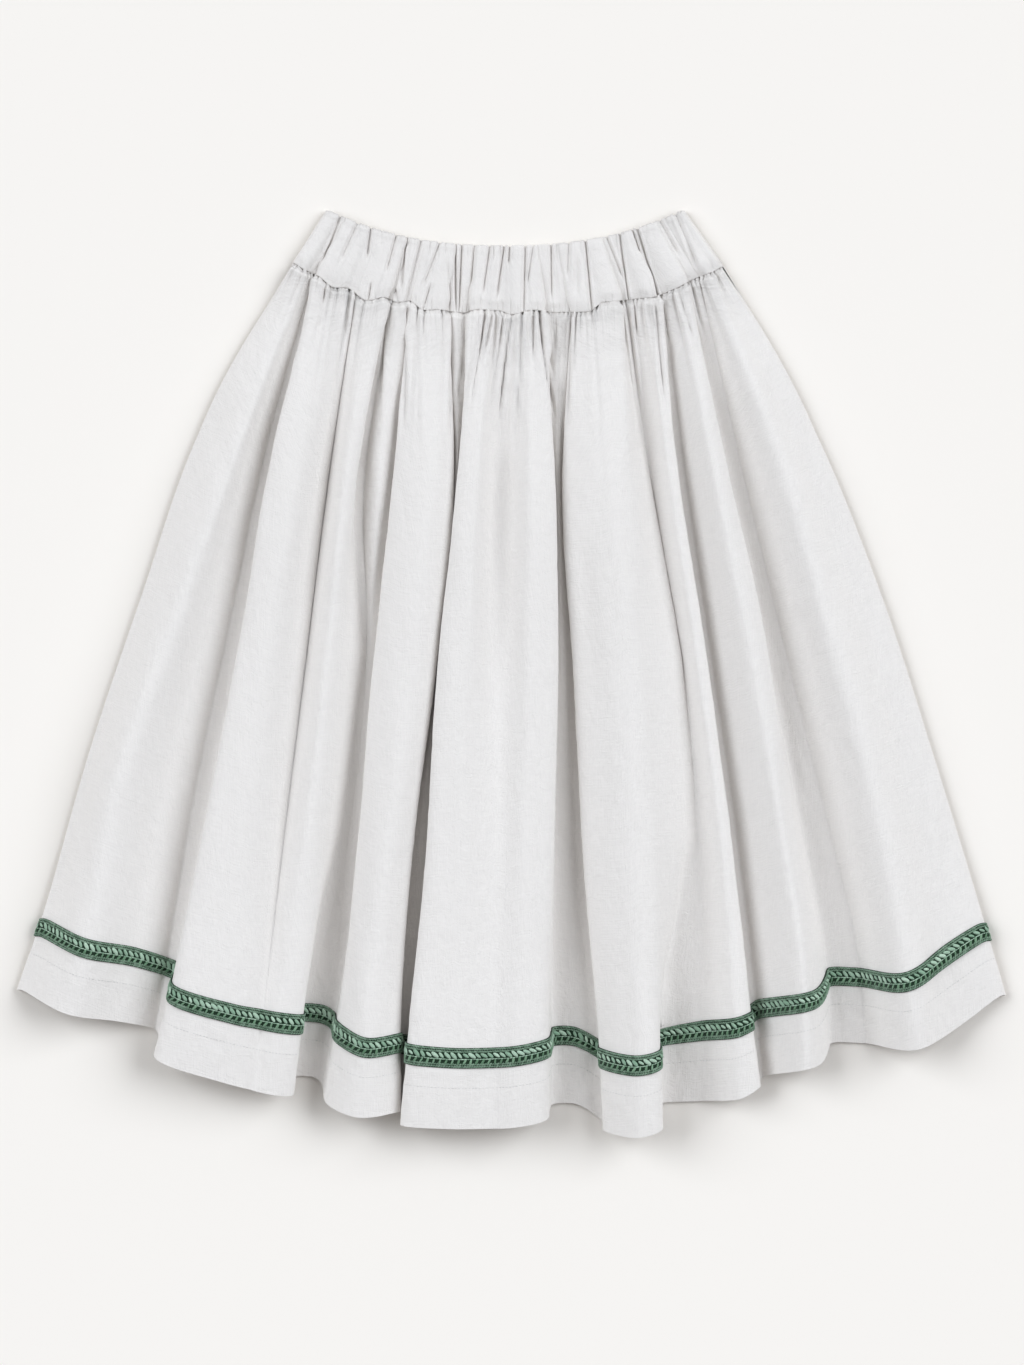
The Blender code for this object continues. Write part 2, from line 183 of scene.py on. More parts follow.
# %% [markdown]
# ## From lines to a surface
#
# Each level of the skirt is one closed section: across the front from left to right, then back along the
# underside. The section passes through every line of the table. Under each edge come two more points, where
# the cloth turns under; a tuck below zero moves them outward, so that the fold's side is a slope. A
# centripetal Catmull-Rom curve joins the points, because it passes through them and never loops where they
# crowd together, as they do at the waist. In some valleys the curve is creased: it leaves the lowest point
# steeply.

# %% Lines and arcs
def smooth(x):
    """0 below 0, 1 above 1, and an even ease between."""
    x = np.clip(x, 0.0, 1.0)
    return x * x * (3 - 2 * x)


def along(values, levels):
    """Values between the stations, by a smooth curve through the table's own values."""
    values = np.asarray(values, float)
    slopes = np.gradient(values, STATIONS)
    place = np.clip(np.searchsorted(STATIONS, levels, side="right") - 1, 0, len(STATIONS) - 2)
    span = STATIONS[place + 1] - STATIONS[place]
    s = (levels - STATIONS[place]) / span
    start = values[place] * (1 + 2 * s) * (1 - s) ** 2 + slopes[place] * span * s * (1 - s) ** 2
    end = values[place + 1] * s * s * (3 - 2 * s) + slopes[place + 1] * span * s * s * (s - 1)
    return start + end


def seam_y(x):
    """Where the waist seam's arc lies at x."""
    share = np.minimum(np.abs(x - SEAM_CENTRE[0]) / SEAM_HALF, 1.0)
    return SEAM_CENTRE[1] + SEAM_RISE * share**WAIST_ARC


def run_y(start, braid, hem, levels):
    """y of a line from the seam through the braid to the hem."""
    upper = start + (braid - start) * levels / BRAID_TOP
    lower = braid + (hem - braid) * (levels - BRAID_TOP) / (1 - BRAID_TOP)
    return np.where(levels < BRAID_TOP, upper, lower)


def rest_height(levels):
    """Height of the back where it lies flat: the casing and the braid under it lift it off the floor."""
    return np.interp(levels, REST_LEVELS, REST)


def line_points(line, levels):
    """A fold line at every level."""
    height = rest_height(levels) + along(FLOOR, levels) + line.rise * along(GROWTH[line.kind], levels)
    y = run_y(seam_y(line.x[0]), line.braid_y, line.hem_y, levels)
    return np.stack((along(line.x, levels), y, height), axis=-1)


def tuck_points(line, beside, levels):
    """The turn and the foot of the cloth below an edge: tucked under it, or outside it for a slope."""
    edge = line_points(line, levels)
    floor = rest_height(levels) + along(FLOOR, levels)
    tuck = np.interp(levels, TUCK_CHANGES if len(line.tuck) == 2 else STATIONS, line.tuck)
    inward = 1 if line.name.endswith("_left") else -1
    turn_x = inward * tuck * along(UNDERCUT, levels)
    foot_x = turn_x * np.where(tuck > 0, TUCK_FOOT, SLOPE_FOOT)
    share = np.minimum(np.abs(turn_x) / max(UNDERCUT), 1.0)
    foot_y = edge[:, 1] + (line_points(beside, levels)[:, 1] - edge[:, 1]) * share
    turn_y = foot_y + TUCK_SLIDE * (edge[:, 1] - foot_y)
    base = np.where(tuck > 0, floor, line_points(beside, levels)[:, 2])
    height = edge[:, 2] - base
    turn = np.stack((edge[:, 0] + turn_x, turn_y, base + TUCK_TURN * height), axis=-1)
    foot = np.stack((edge[:, 0] + foot_x, foot_y, base + TUCK_RISE * height), axis=-1)
    return turn, foot


def side_points(line, levels, inward=0):
    """The fold at a side, or with inward a point just inside it that rounds the fold."""
    points = line_points(line, levels)
    bow = np.sin(math.pi * np.minimum(levels / STATIONS[1], 1.0))
    bulge = along(SIDE_BULGE, levels)
    points[:, 0] += math.copysign(SIDE_BOW, line.x[0]) * bow + inward * bulge
    points[:, 2] = rest_height(levels) + along(SIDE_HEIGHT, levels) + abs(inward) * SHOULDER_RISE * bulge
    return points


# %% The front's lines
CREASED = {"gap_1": 0.7, "gap_2": 0.9, "gap_3": 1.0, "gap_7": 0.5, "gap_8": 0.5}


def front_controls(levels):
    """The front's own lines, with a tuck below each turned edge, and how sharply each is creased."""
    controls = []
    for index, line in enumerate(FRONT_LINES):
        if line.name.endswith("_left"):
            turned = tuck_points(line, FRONT_LINES[index - 1], levels)
            controls += [(points, 0.0) for points in reversed(turned)]
        controls.append((line_points(line, levels), CREASED.get(line.name, 0.0)))
        if line.name.endswith("_right"):
            turned = tuck_points(line, FRONT_LINES[index + 1], levels)
            controls += [(points, 0.0) for points in turned]
    return controls


# %% The back's lines
def back_points(x, levels, rise):
    """The back at x: flat at rest, lifted by its crease."""
    left = side_points(LEFT_SIDE, levels)[:, 0]
    right = side_points(RIGHT_SIDE, levels)[:, 0]
    share = (x - left) / (right - left)
    arch = np.maximum(np.cos(math.pi * (share - 0.5)), 0.0) ** BACK_ARCH
    braid = LEFT_SIDE.braid_y + (RIGHT_SIDE.braid_y - LEFT_SIDE.braid_y) * share - BACK_BRAID_DROP * arch
    hem = LEFT_SIDE.hem_y + (RIGHT_SIDE.hem_y - LEFT_SIDE.hem_y) * share - BACK_HEM_DROP * arch
    seam_x = LEFT_SIDE.x[0] + (RIGHT_SIDE.x[0] - LEFT_SIDE.x[0]) * share
    y = run_y(seam_y(seam_x), braid, hem, levels)
    return np.stack((x, y, rest_height(levels) + rise * along(CREASE_GROWTH, levels)), axis=-1)


def back_controls(levels):
    """The back's own lines, from the right side to the left."""
    lines = {line.name: line for line in FRONT_LINES}
    bulge = along(SIDE_BULGE, levels)
    controls = [back_points(side_points(RIGHT_SIDE, levels)[:, 0] - bulge, levels, 0.0)]
    for crease in BACK_CREASES:
        centre = line_points(lines[crease.under], levels)[:, 0]
        half = crease.half_width * (CREASE_WAIST + (1 - CREASE_WAIST) * levels)
        controls.append(back_points(centre + half, levels, 0.0))
        controls.append(back_points(centre, levels, crease.rise))
        controls.append(back_points(centre - half, levels, 0.0))
    controls.append(back_points(side_points(LEFT_SIDE, levels)[:, 0] + bulge, levels, 0.0))
    return controls


# %% A curve between two lines
STEEPER = np.array((0.8, 1.0, 1.5))  # how a creased end leaves: slower in x, faster in height


def smooth_span(before, start, end, after, creased, steps):
    """Points from start toward end on a centripetal Catmull-Rom curve, at every level, without the end.

    Where an end is creased, the curve leaves it steeply instead of level, so the valley there is sharp.
    """
    gaps = []
    for one, two in ((before, start), (start, end), (end, after)):
        gaps.append(np.sqrt(np.maximum(np.linalg.norm(two - one, axis=-1, keepdims=True), 1e-6)))
    first, span, last = gaps
    middle = (end - start) / span
    leave = ((start - before) / first - (end - before) / (first + span) + middle) * span
    arrive = (middle - (after - start) / (span + last) + (after - end) / last) * span
    leave += creased[0] * ((end - start) * STEEPER - leave)
    arrive += creased[1] * ((end - start) * STEEPER - arrive)
    points = []
    for step in range(steps):
        s = step / steps
        blend = start * (1 + 2 * s) * (1 - s) ** 2 + end * s * s * (3 - 2 * s)
        points.append(blend + leave * s * (1 - s) ** 2 + arrive * s * s * (s - 1))
    return points


# %% The closed section
def sections(levels, column_step):
    """Closed sections as an array of levels by columns by xyz, and how many columns the front has."""
    inner = front_controls(levels)
    front = [side_points(LEFT_SIDE, levels), side_points(LEFT_SIDE, levels, 1)]
    front += [points for points, _ in inner]
    front += [side_points(RIGHT_SIDE, levels, -1), side_points(RIGHT_SIDE, levels)]
    lines = front + back_controls(levels)
    creased = [0.0] * len(lines)
    creased[2 : 2 + len(inner)] = [crease for _, crease in inner]
    points = []
    front_count = 0
    for index, line in enumerate(lines):
        around = [lines[(index + offset) % len(lines)] for offset in (-1, 0, 1, 2)]
        longest = np.linalg.norm(around[2] - line, axis=-1).max()
        ends = (creased[index], creased[(index + 1) % len(lines)])
        points += smooth_span(*around, ends, max(3, math.ceil(longest / column_step)))
        if index == len(front) - 2:
            front_count = len(points)
    points = np.stack(points, axis=1)
    lowest = np.repeat(rest_height(levels)[:, None], points.shape[1], axis=1)
    lowest[:, 1:front_count] += along(FLOOR, levels)[:, None]
    points[:, :, 2] = np.maximum(points[:, :, 2], lowest)
    return points, front_count


# %% Levels, close together where the cloth is gathered
PANEL_LENGTH = 690.0
ROW_STEPS = (
    (0.0, 1.1), (12.0, 2.4), (45.0, 6.0), (120.0, 10.0), (560.0, 10.0), (610.0, 5.5), (690.0, 5.5),
)
COLUMN_STEP = 2.9


def cloth_levels():
    """Levels from the waist seam to the hem, spaced by the steps of the table."""
    depths = [0.0]
    while depths[-1] < PANEL_LENGTH - ROW_STEPS[-1][1] / 2:
        depths.append(depths[-1] + np.interp(depths[-1], *zip(*ROW_STEPS)))
    return np.array(depths) / depths[-1]


LEVELS = cloth_levels()
TUBE, FRONT_COUNT = sections(LEVELS, COLUMN_STEP)
print("rows and columns of the tube of cloth:", TUBE.shape[:2], "front columns:", FRONT_COUNT)

# %% [markdown]
# ## Creases placed one by one
#
# Real cloth is never as even as a formula. Each mark below is a crease with its own start, end, bend, depth
# and width, pushed into the surface along its normal. A wide mark is a bell-shaped trough with two low
# lips, as a press mark in cotton is. A narrow one is a cleft between two rounded ridges, as a gather at the
# seam is. Small random gathers fill the space between them. They come from a fixed seed, so every run gives
# the same skirt.

# %% The creases of the front
Mark = namedtuple("Mark", "start end bend depth width")
FRONT_MARKS = [Mark(*row) for row in (
    ((-170, 322), (-192, 262), 0, 0.8, 3.0), ((-168, 356), (-170, 330), 0, 1.8, 1.6),
    ((-146, 346), (-152, 296), 0, 2.4, 1.8), ((-111, 340), (-119, 225), -1, 2.4, 1.8),
    ((-96, 336), (-99, 200), 2, 2.6, 1.8), ((-84, 336), (-84, 180), 0, 1.3, 2.0),
    ((-56, 332), (-55, 200), 0, 3.0, 1.8), ((-37, 332), (-52, 225), 0, 2.4, 1.8),
    ((-23, 332), (-39, 236), 1, 3.0, 1.7), ((-17, 332), (-31, 260), 0, 2.2, 1.5),
    ((-7, 332), (-20, 240), 0, 2.0, 1.5), ((2, 332), (-14, 212), -1, 3.0, 1.8),
    ((11, 332), (2, 196), 0, 2.6, 1.7), ((20, 332), (18, 268), 0, 2.6, 1.5),
    ((24, 332), (42, 222), -3, 3.6, 1.9), ((29, 332), (37, 268), -1, 2.6, 1.5),
    ((41, 332), (38, 288), 0, 1.8, 1.5), ((55, 332), (49, 212), 0, 3.2, 1.9),
    ((59, 332), (54, 258), 0, 2.2, 1.5), ((86, 340), (90, 308), 0, 2.2, 1.5),
    ((102, 340), (117, 222), 0, 2.2, 2.0), ((110, 340), (113, 300), 0, 1.8, 1.6),
    ((128, 344), (139, 222), 0, 2.6, 2.0), ((148, 350), (170, 278), 0, 2.2, 1.8),
    ((160, 356), (173, 300), 0, 2.2, 1.8), ((-8, 200), (-20, -60), 4, 1.2, 9.0),
    ((-160, 80), (-196, -150), 0, 1.0, 8.0), ((62, 120), (78, -60), 0, 0.8, 8.0),
    ((-225, 120), (-262, -120), 2, 0.9, 10.0), ((258, 60), (310, -130), 0, 0.8, 9.0),
    ((296, -60), (312, -84), 0, 0.7, 3.0), ((368, -150), (402, -176), 2, 0.7, 4.0),
    ((374, -176), (412, -206), -2, 0.6, 4.0), ((-396, -168), (-372, -176), 0, 0.6, 4.0),
    ((-386, -282), (-330, -290), 2, 0.6, 3.0), ((-292, -328), (-202, -342), 2, 1.0, 3.0),
    ((-160, -356), (-124, -360), 0, 0.9, 3.0), ((-86, -352), (-36, -350), 1, 1.1, 3.0),
    ((82, -372), (112, -380), 0, 0.9, 3.0), ((300, -300), (330, -318), 0, 1.0, 4.0),
)]
MARK_STRENGTH = 1.35
MARK_SHARES = (0.05, 0.4, 0.6)  # where along a mark it is full, has eased, and starts to fade
MARK_EASE = 0.2
MARK_WIDENS = 0.5
SHARP_MARK = 4.5
SHARP_WIDTH = 0.55
print(len(FRONT_MARKS), "marks on the front")

# %% Random gathers at the seam
Gathers = namedtuple("Gathers", "spacing depth width reach")
SEAM_GATHERS = (
    Gathers(4.4, 2.2, 0.7, 12.0),
    Gathers(8.5, 1.8, 0.7, 80.0),
    Gathers(17.0, 2.1, 0.8, 260.0),
)
GATHER_OPENS = 80.0
GATHER_SINKS = 60.0
CHANCES = {"reach": (0.5, 1.5), "width": (0.7, 1.3), "depth": (0.4, 1.3), "spacing": (0.55, 1.5)}
print(len(SEAM_GATHERS), "kinds of gathers, the widest", SEAM_GATHERS[-1].spacing, "mm apart")


# %% Profiles of a crease
Bulge = namedtuple("Bulge", "height away width")
LIPS = Bulge(0.28, 2.1, 1.1)
RIDGES = Bulge(0.6, 2.4, 1.2)


def trough(distance, width):
    """A bell-shaped trough one unit deep, with two low lips."""
    bell = np.exp(-((distance / width) ** 2))
    lips = np.exp(-(((np.abs(distance) - LIPS.away * width) / (LIPS.width * width)) ** 2))
    return LIPS.height * lips - bell


def cleft(distance, width):
    """A narrow valley one unit deep with a sharp floor between two rounded ridges."""
    away = np.abs(distance) / width
    return RIDGES.height * np.exp(-(((away - RIDGES.away) / RIDGES.width) ** 2)) - np.exp(-away)


# %% How deep the creases are
def marks_depth(points, marks):
    """How far the marks push the surface at points, in mm."""
    total = np.zeros(points.shape[:-1])
    started, eased, fading = MARK_SHARES
    for mark in marks:
        start = np.array(mark.start, float)
        run = np.array(mark.end, float) - start
        length = np.linalg.norm(run)
        run /= length
        across = np.array((-run[1], run[0]))
        away = points[..., :2] - start
        t = away @ run / length
        distance = away @ across - mark.bend * 4 * t * (1 - t)
        ends = smooth(t / started) * (1 - MARK_EASE * smooth(t / eased))
        ends *= 1 - smooth((t - fading) / (1 - fading))
        width = mark.width * (1 + MARK_WIDENS * np.clip(t, 0, 1))
        sharp = mark.width < SHARP_MARK
        profile = cleft(distance, SHARP_WIDTH * width) if sharp else trough(distance, width)
        total += MARK_STRENGTH * mark.depth * ends * profile
    return total


def gathers_depth(seam_x, below, seed):
    """Random gathers that are sharp and deep at the seam, and open and fade below it."""
    rng = np.random.default_rng(seed)
    total = np.zeros(seam_x.shape)
    for kind in SEAM_GATHERS:
        x = seam_x.min() + kind.spacing / 2
        while x < seam_x.max():
            reach = kind.reach * rng.uniform(*CHANCES["reach"])
            fade = (1 - smooth(below / reach)) / (1 + below / GATHER_SINKS)
            width = kind.width * rng.uniform(*CHANCES["width"]) * (1 + below / GATHER_OPENS)
            total += kind.depth * rng.uniform(*CHANCES["depth"]) * fade * cleft(seam_x - x, width)
            x += kind.spacing * rng.uniform(*CHANCES["spacing"])
    return total


def soft_noise(u, v, seed, wave_u, wave_v, count=12):
    """Gentle unevenness about one unit high, made of a few crossing waves."""
    rng = np.random.default_rng(seed)
    total = np.zeros(u.shape)
    for _ in range(count):
        turns_u = rng.uniform(0.5, 1.5) * rng.choice((-1, 1)) / wave_u
        turns_v = rng.uniform(0.5, 1.5) / wave_v
        phase = rng.uniform(0, 2 * math.pi)
        total += rng.uniform(0.5, 1.0) * np.sin(2 * math.pi * (u * turns_u + v * turns_v) + phase)
    return total / math.sqrt(count)


# %% [markdown]
# ## Building a sheet
#
# A sheet of cloth is a grid of points with one row for each level. The helper below turns rows of points
# into a mesh and gives it a UV map in metres along and across the cloth, so that the weave keeps its true
# scale everywhere. On the panels a second UV map tells how far each point hangs below the seam, for the
# finest pleats there. A Solidify modifier adds the thin wall; the hem is folded up on the inside, so it is
# twice as thick.

# %% Grid helpers
def grid_normals(rows, closed):
    """Unit normals of a grid, pointing out of the cloth tube."""
    if closed:
        side = np.roll(rows, -1, axis=1) - np.roll(rows, 1, axis=1)
    else:
        side = np.gradient(rows, axis=1)
    normals = np.cross(np.gradient(rows, axis=0), side)
    return normals / np.maximum(np.linalg.norm(normals, axis=-1, keepdims=True), 1e-9)


def cloth_lengths(rows):
    """Distance of each point along its row from the row's middle, and down its column, in mm."""
    steps = np.linalg.norm(np.diff(rows, axis=1), axis=-1)
    u = np.concatenate([np.zeros((len(rows), 1)), np.cumsum(steps, axis=1)], axis=1)
    drops = np.linalg.norm(np.diff(rows, axis=0), axis=-1)
    v = np.concatenate([np.zeros((1, rows.shape[1])), np.cumsum(drops, axis=0)], axis=0)
    return u - u[:, -1:] / 2, v


def grid_mesh(name, rows, wrap_columns=False, wrap_rows=False, gathers=None):
    """A mesh object from a grid of points in mm, with UV maps in metres and sharp free edges."""
    row_count, column_count = rows.shape[:2]
    rows_out = row_count if wrap_rows else row_count - 1
    columns_out = column_count if wrap_columns else column_count - 1
    r, c = np.meshgrid(np.arange(rows_out), np.arange(columns_out), indexing="ij")
    corner_rows = np.stack((r, r + 1, r + 1, r), axis=-1).reshape(-1, 4)
    corner_columns = np.stack((c, c, c + 1, c + 1), axis=-1).reshape(-1, 4)
    faces = (corner_rows % row_count) * column_count + corner_columns % column_count
    mesh = bpy.data.meshes.new(name)
    mesh.from_pydata((rows.reshape(-1, 3) * MM).tolist(), [], faces.tolist())
    unrolled = np.concatenate([rows, rows[:, :1]], axis=1) if wrap_columns else rows
    unrolled = np.concatenate([unrolled, unrolled[:1]], axis=0) if wrap_rows else unrolled
    u, v = cloth_lengths(unrolled)
    uv = np.stack((u[corner_rows, corner_columns], v[corner_rows, corner_columns]), axis=-1) * MM
    mesh.uv_layers.new(name="cloth").data.foreach_set("uv", uv.astype(np.float32).ravel())
    if gathers is not None:
        uv = gathers[corner_rows, corner_columns] * MM
        mesh.uv_layers.new(name="gathers").data.foreach_set("uv", uv.astype(np.float32).ravel())
    mesh.shade_smooth()
    pairs = np.empty(len(mesh.edges) * 2, int)
    mesh.edges.foreach_get("vertices", pairs)
    row, column = np.divmod(pairs.reshape(-1, 2), column_count)
    sharp = np.zeros(len(mesh.edges), bool)
    if not wrap_rows:
        sharp |= (row == 0).all(axis=1) | (row == row_count - 1).all(axis=1)
    if not wrap_columns:
        sharp |= (column == 0).all(axis=1) | (column == column_count - 1).all(axis=1)
    mesh.attributes.new("sharp_edge", "BOOLEAN", "EDGE").data.foreach_set("value", sharp)
    piece = bpy.data.objects.new(name, mesh)
    bpy.context.scene.collection.objects.link(piece)
    return piece


# %% A wall for a panel
HEM_LEVEL = 0.945


def add_wall(piece, levels, columns):
    """Gives a panel its thin wall, thicker in the turned-up hem."""
    share = np.repeat(np.where(levels > HEM_LEVEL, 1.0, CLOTH / HEM_CLOTH), columns)
    group = piece.vertex_groups.new(name="wall")
    for value in np.unique(share):
        group.add(np.flatnonzero(share == value).tolist(), float(value), "REPLACE")
    wall = piece.modifiers.new("Wall", "SOLIDIFY")
    wall.thickness = HEM_CLOTH * MM
    wall.offset = 0.0
    wall.vertex_group = "wall"
    print(piece.name, "has", len(piece.data.polygons) * 4, "triangles with its wall")


# %% The seam's dips
DIP_X, DIP_Y = (np.array(column, float) for column in zip(*SEAM_DIPS))


def seam_scallop(x):
    """How far the seam rises or dips at x, as the gathers pull it."""
    place = np.clip(np.searchsorted(DIP_X, x) - 1, 0, len(DIP_X) - 2)
    share = smooth((x - DIP_X[place]) / (DIP_X[place + 1] - DIP_X[place]))
    return DIP_Y[place] + (DIP_Y[place + 1] - DIP_Y[place]) * share


# %% [markdown]
# ## Front panel
#
# The front is the half of the tube that lies on top. Its first rows sink under the waistband, then puff up
# where the gathers leave the seam. The gathers follow the columns of the grid, so they spread with the
# cloth, and the listed marks are looked up from above.

# %% Model the front
SEAM_FADE = 45.0
SEAM_PUFF = 4.2
PUFF_STARTS = 5.0
PUFF_FADES = 32.0
SEAM_UNDER = 1.2
SEAM_LOWEST = 4.4
FRONT_LOWEST = 1.5
HELD = 0.6
HELD_DEPTH = 5.0
FACING_UP = 0.4
SIDE_COLUMNS = 6.0
Waves = namedtuple("Waves", "height seed wave_u wave_v")
UNEVENNESS = (Waves(0.30, 5, 38.0, 260.0), Waves(0.17, 6, 16.0, 34.0))
UNEVEN_FROM = 60.0


def away_from_sides(rows):
    """0 at the two side seams and 1 from a few columns inside them."""
    columns = np.arange(rows.shape[1])
    return smooth(np.minimum(columns, columns[::-1]) / SIDE_COLUMNS)[None, :]


def dressed_front():
    """Rows of the front panel with every gather and crease."""
    rows = TUBE[:, : FRONT_COUNT + 1].copy()
    seam_x = np.repeat(rows[:1, :, 0], len(rows), axis=0)
    below = (LEVELS * PANEL_LENGTH)[:, None] * np.ones(rows.shape[1])
    rows[:, :, 1] += seam_scallop(seam_x) * (1 - smooth(below / SEAM_FADE))
    u, v = cloth_lengths(rows)
    normals = grid_normals(rows, False)
    facing = smooth(normals[:, :, 2] / FACING_UP)
    held = HELD + (1 - HELD) * smooth(below / HELD_DEPTH)
    push = gathers_depth(seam_x, below, 11) + marks_depth(rows, FRONT_MARKS) * facing * held
    push += SEAM_PUFF * smooth(below / PUFF_STARTS) * np.exp(-below / PUFF_FADES)
    for waves in UNEVENNESS:
        uneven = soft_noise(u, v, waves.seed, waves.wave_u, waves.wave_v)
        push += waves.height * uneven * smooth(below / UNEVEN_FROM)
    rows += normals * (push * away_from_sides(rows))[:, :, None]
    rows[:, :, 2] = np.maximum(rows[:, :, 2], rest_height(LEVELS)[:, None] + FRONT_LOWEST)
    rows[0, :, 2] = np.maximum(rows[0, :, 2], SEAM_LOWEST)
    rows[:, 0, 2] += SIDE_GAP
    rows[:, -1, 2] += SIDE_GAP
    rows[0] += (0.0, SEAM_UNDER, -BAND_WALL / 2 - CLOTH / 2 - SEWN_GAP)
    return rows


def gather_map(rows):
    """Where each point hangs from: its x on the seam, and how far below the seam it is."""
    below = np.repeat((LEVELS * PANEL_LENGTH)[:, None], rows.shape[1], axis=1)
    return np.stack((np.repeat(rows[:1, :, 0], len(rows), axis=0), below), axis=-1)


FRONT_ROWS = dressed_front()
front = grid_mesh("front_cloth", FRONT_ROWS, gathers=gather_map(FRONT_ROWS))
add_wall(front, LEVELS, FRONT_ROWS.shape[1])

# %% [markdown]
# ## Back panel
#
# The back lies on the floor and carries the front, so it stays flat where it rests and has only low
# creases, which lift it a little. Its gathers come from a seed of their own.

# %% Model the back
BACK_MARKS = [Mark(*row) for row in (
    ((-120, 330), (-150, 150), 3, 1.2, 6.0), ((-40, 330), (-60, 60), -4, 1.4, 7.0),
    ((30, 330), (22, 120), 3, 1.3, 6.0), ((95, 330), (150, 60), 4, 1.2, 7.0),
    ((150, 340), (215, 180), 2, 1.0, 6.0),
)]
BACK_GATHERS = 0.5
BACK_LIFT = 1.2


def dressed_back():
    """Rows of the back panel, which rests on the floor."""
    rows = np.concatenate([TUBE[:, FRONT_COUNT:], TUBE[:, :1]], axis=1)
    seam_x = np.repeat(rows[:1, :, 0], len(rows), axis=0)
    below = (LEVELS * PANEL_LENGTH)[:, None] * np.ones(rows.shape[1])
    rows[:, :, 1] += seam_scallop(-seam_x) * (1 - smooth(below / SEAM_FADE))
    lift = -gathers_depth(seam_x, below, 23) * BACK_GATHERS - marks_depth(rows, BACK_MARKS)
    rows[:, :, 2] += np.clip(lift, 0.0, BACK_LIFT) * away_from_sides(rows)
    rows[:, 0, 2] -= SIDE_GAP
    rows[:, -1, 2] -= SIDE_GAP
    rows[0, :, 1] -= SEWN_GAP
    return rows


BACK_ROWS = dressed_back()
back = grid_mesh("back_cloth", BACK_ROWS, gathers=gather_map(BACK_ROWS))
add_wall(back, LEVELS, BACK_ROWS.shape[1])

# %% [markdown]
# ## Waistband
#
# The waistband is a strip folded over a wide elastic. The elastic is shorter than the strip, so the cloth
# puckers in upright crowns with narrow valleys between them. The band is one closed ring: its outer face
# goes up from the seam, rounds over the top edge and comes down inside. Each valley is listed one by one, with
# its own slant, and the crowns are wherever the valleys are not.

# %% Model the waistband
Pucker = namedtuple("Pucker", "top_x foot_x top foot depth width")
PUCKERS = [Pucker(*row) for row in (
    (-155, -171, 1.0, 0.15, 1.5, 1.8), (-139, -157, 1.0, 0.3, 1.2, 2.2), (-127, -131, 1.0, 0.5, 2.0, 1.8),
    (-126, -129, 0.3, 0.0, 1.6, 1.5), (-104, -114, 1.0, 0.35, 1.3, 2.0), (-104, -102, 0.25, 0.0, 1.5, 1.4),
    (-95, -99, 1.0, 0.1, 1.6, 1.7), (-82, -96, 1.0, 0.0, 1.5, 1.9), (-65, -83, 1.0, 0.2, 1.3, 2.0),
    (-72, -80, 0.45, 0.0, 1.4, 1.6), (-58, -56, 0.9, 0.0, 0.9, 1.6), (-51, -50, 1.0, 0.0, 2.1, 1.5),
    (-45, -48, 1.0, 0.0, 1.9, 1.5), (-33, -36, 1.0, 0.3, 0.9, 2.2), (-20, -27, 1.0, 0.15, 1.5, 1.7),
    (-7, -15, 1.0, 0.1, 1.7, 1.6), (-2, -3, 1.0, 0.7, 1.6, 1.8), (12, 11, 1.0, 0.0, 1.6, 1.6),
    (19, 13, 1.0, 0.3, 1.1, 1.6), (35, 36, 1.0, 0.1, 1.5, 1.6), (51, 50, 1.0, 0.45, 1.2, 2.4),
    (59, 58, 0.9, 0.2, 0.7, 3.0), (66, 72, 1.0, 0.0, 2.1, 1.6), (85, 102, 1.0, 0.25, 1.3, 1.9),
    (97, 105, 1.0, 0.0, 2.1, 1.6), (108, 116, 1.0, 0.6, 1.4, 1.8), (113, 131, 1.0, 0.0, 2.1, 1.8),
    (133, 152, 1.0, 0.35, 1.2, 2.2), (147, 170, 1.0, 0.05, 1.7, 2.2),
)]
BAND_TURN = 0.028
BAND_FOOT = 0.012
BAND_CROWN = 2.2
TOP_FRONT_HEIGHT = 5.0
TOP_FRONT_PUCKER = 0.35
TOP_BACK_PUCKER = 0.2
print(len(PUCKERS), "puckers placed by hand")

# %% The casing's grid
BAND_COLUMNS = (820, 280)
BAND_LEVELS = np.concatenate([
    BAND_FOOT * (1 - np.cos(np.linspace(0, math.pi / 2, 4)))[:-1],
    np.linspace(BAND_FOOT, 1 - BAND_TURN, 26),
    1 - BAND_TURN * (1 - np.cos(np.linspace(math.pi / 2, 0, 5)))[1:],
])


def evenly(points, count):
    """Points spaced evenly along a line, without its last one."""
    run = np.concatenate([[0.0], np.cumsum(np.linalg.norm(np.diff(points, axis=0), axis=1))])
    places = np.linspace(0.0, run[-1], count, endpoint=False)
    return np.stack([np.interp(places, run, points[:, axis]) for axis in range(3)], axis=1)


def band_middle():
    """Rows of the casing's middle surface, from the top edge to the seam, and which columns are in front."""
    ring = np.concatenate([TUBE[0], TUBE[0][:1]])
    front_part = evenly(ring[: FRONT_COUNT + 1], BAND_COLUMNS[0])
    seam = np.concatenate([front_part, evenly(ring[FRONT_COUNT:], BAND_COLUMNS[1])])
    on_front = np.arange(len(seam)) <= BAND_COLUMNS[0]
    seam[:, 1] += np.where(on_front, seam_scallop(seam[:, 0]), seam_scallop(-seam[:, 0]))
    share = (seam[:, 0] - SEAM_CENTRE[0]) / SEAM_HALF
    top = seam.copy()
    top[:, 0] = TOP_CENTRE[0] + TOP_HALF * share
    top[:, 1] = TOP_CENTRE[1] + TOP_RISE * np.abs(share) ** WAIST_ARC
    base = np.where(on_front, TOP_FRONT_HEIGHT, BAND_WALL / 2)
    pucker = np.where(on_front, TOP_FRONT_PUCKER, TOP_BACK_PUCKER)
    top[:, 2] = base + pucker * (seam[:, 2] - seam[:, 2].min())
    rows = seam + (top - seam) * BAND_LEVELS[::-1, None, None]
    rows[-1, :, 1] += SEWN_GAP / 2
    return rows, on_front


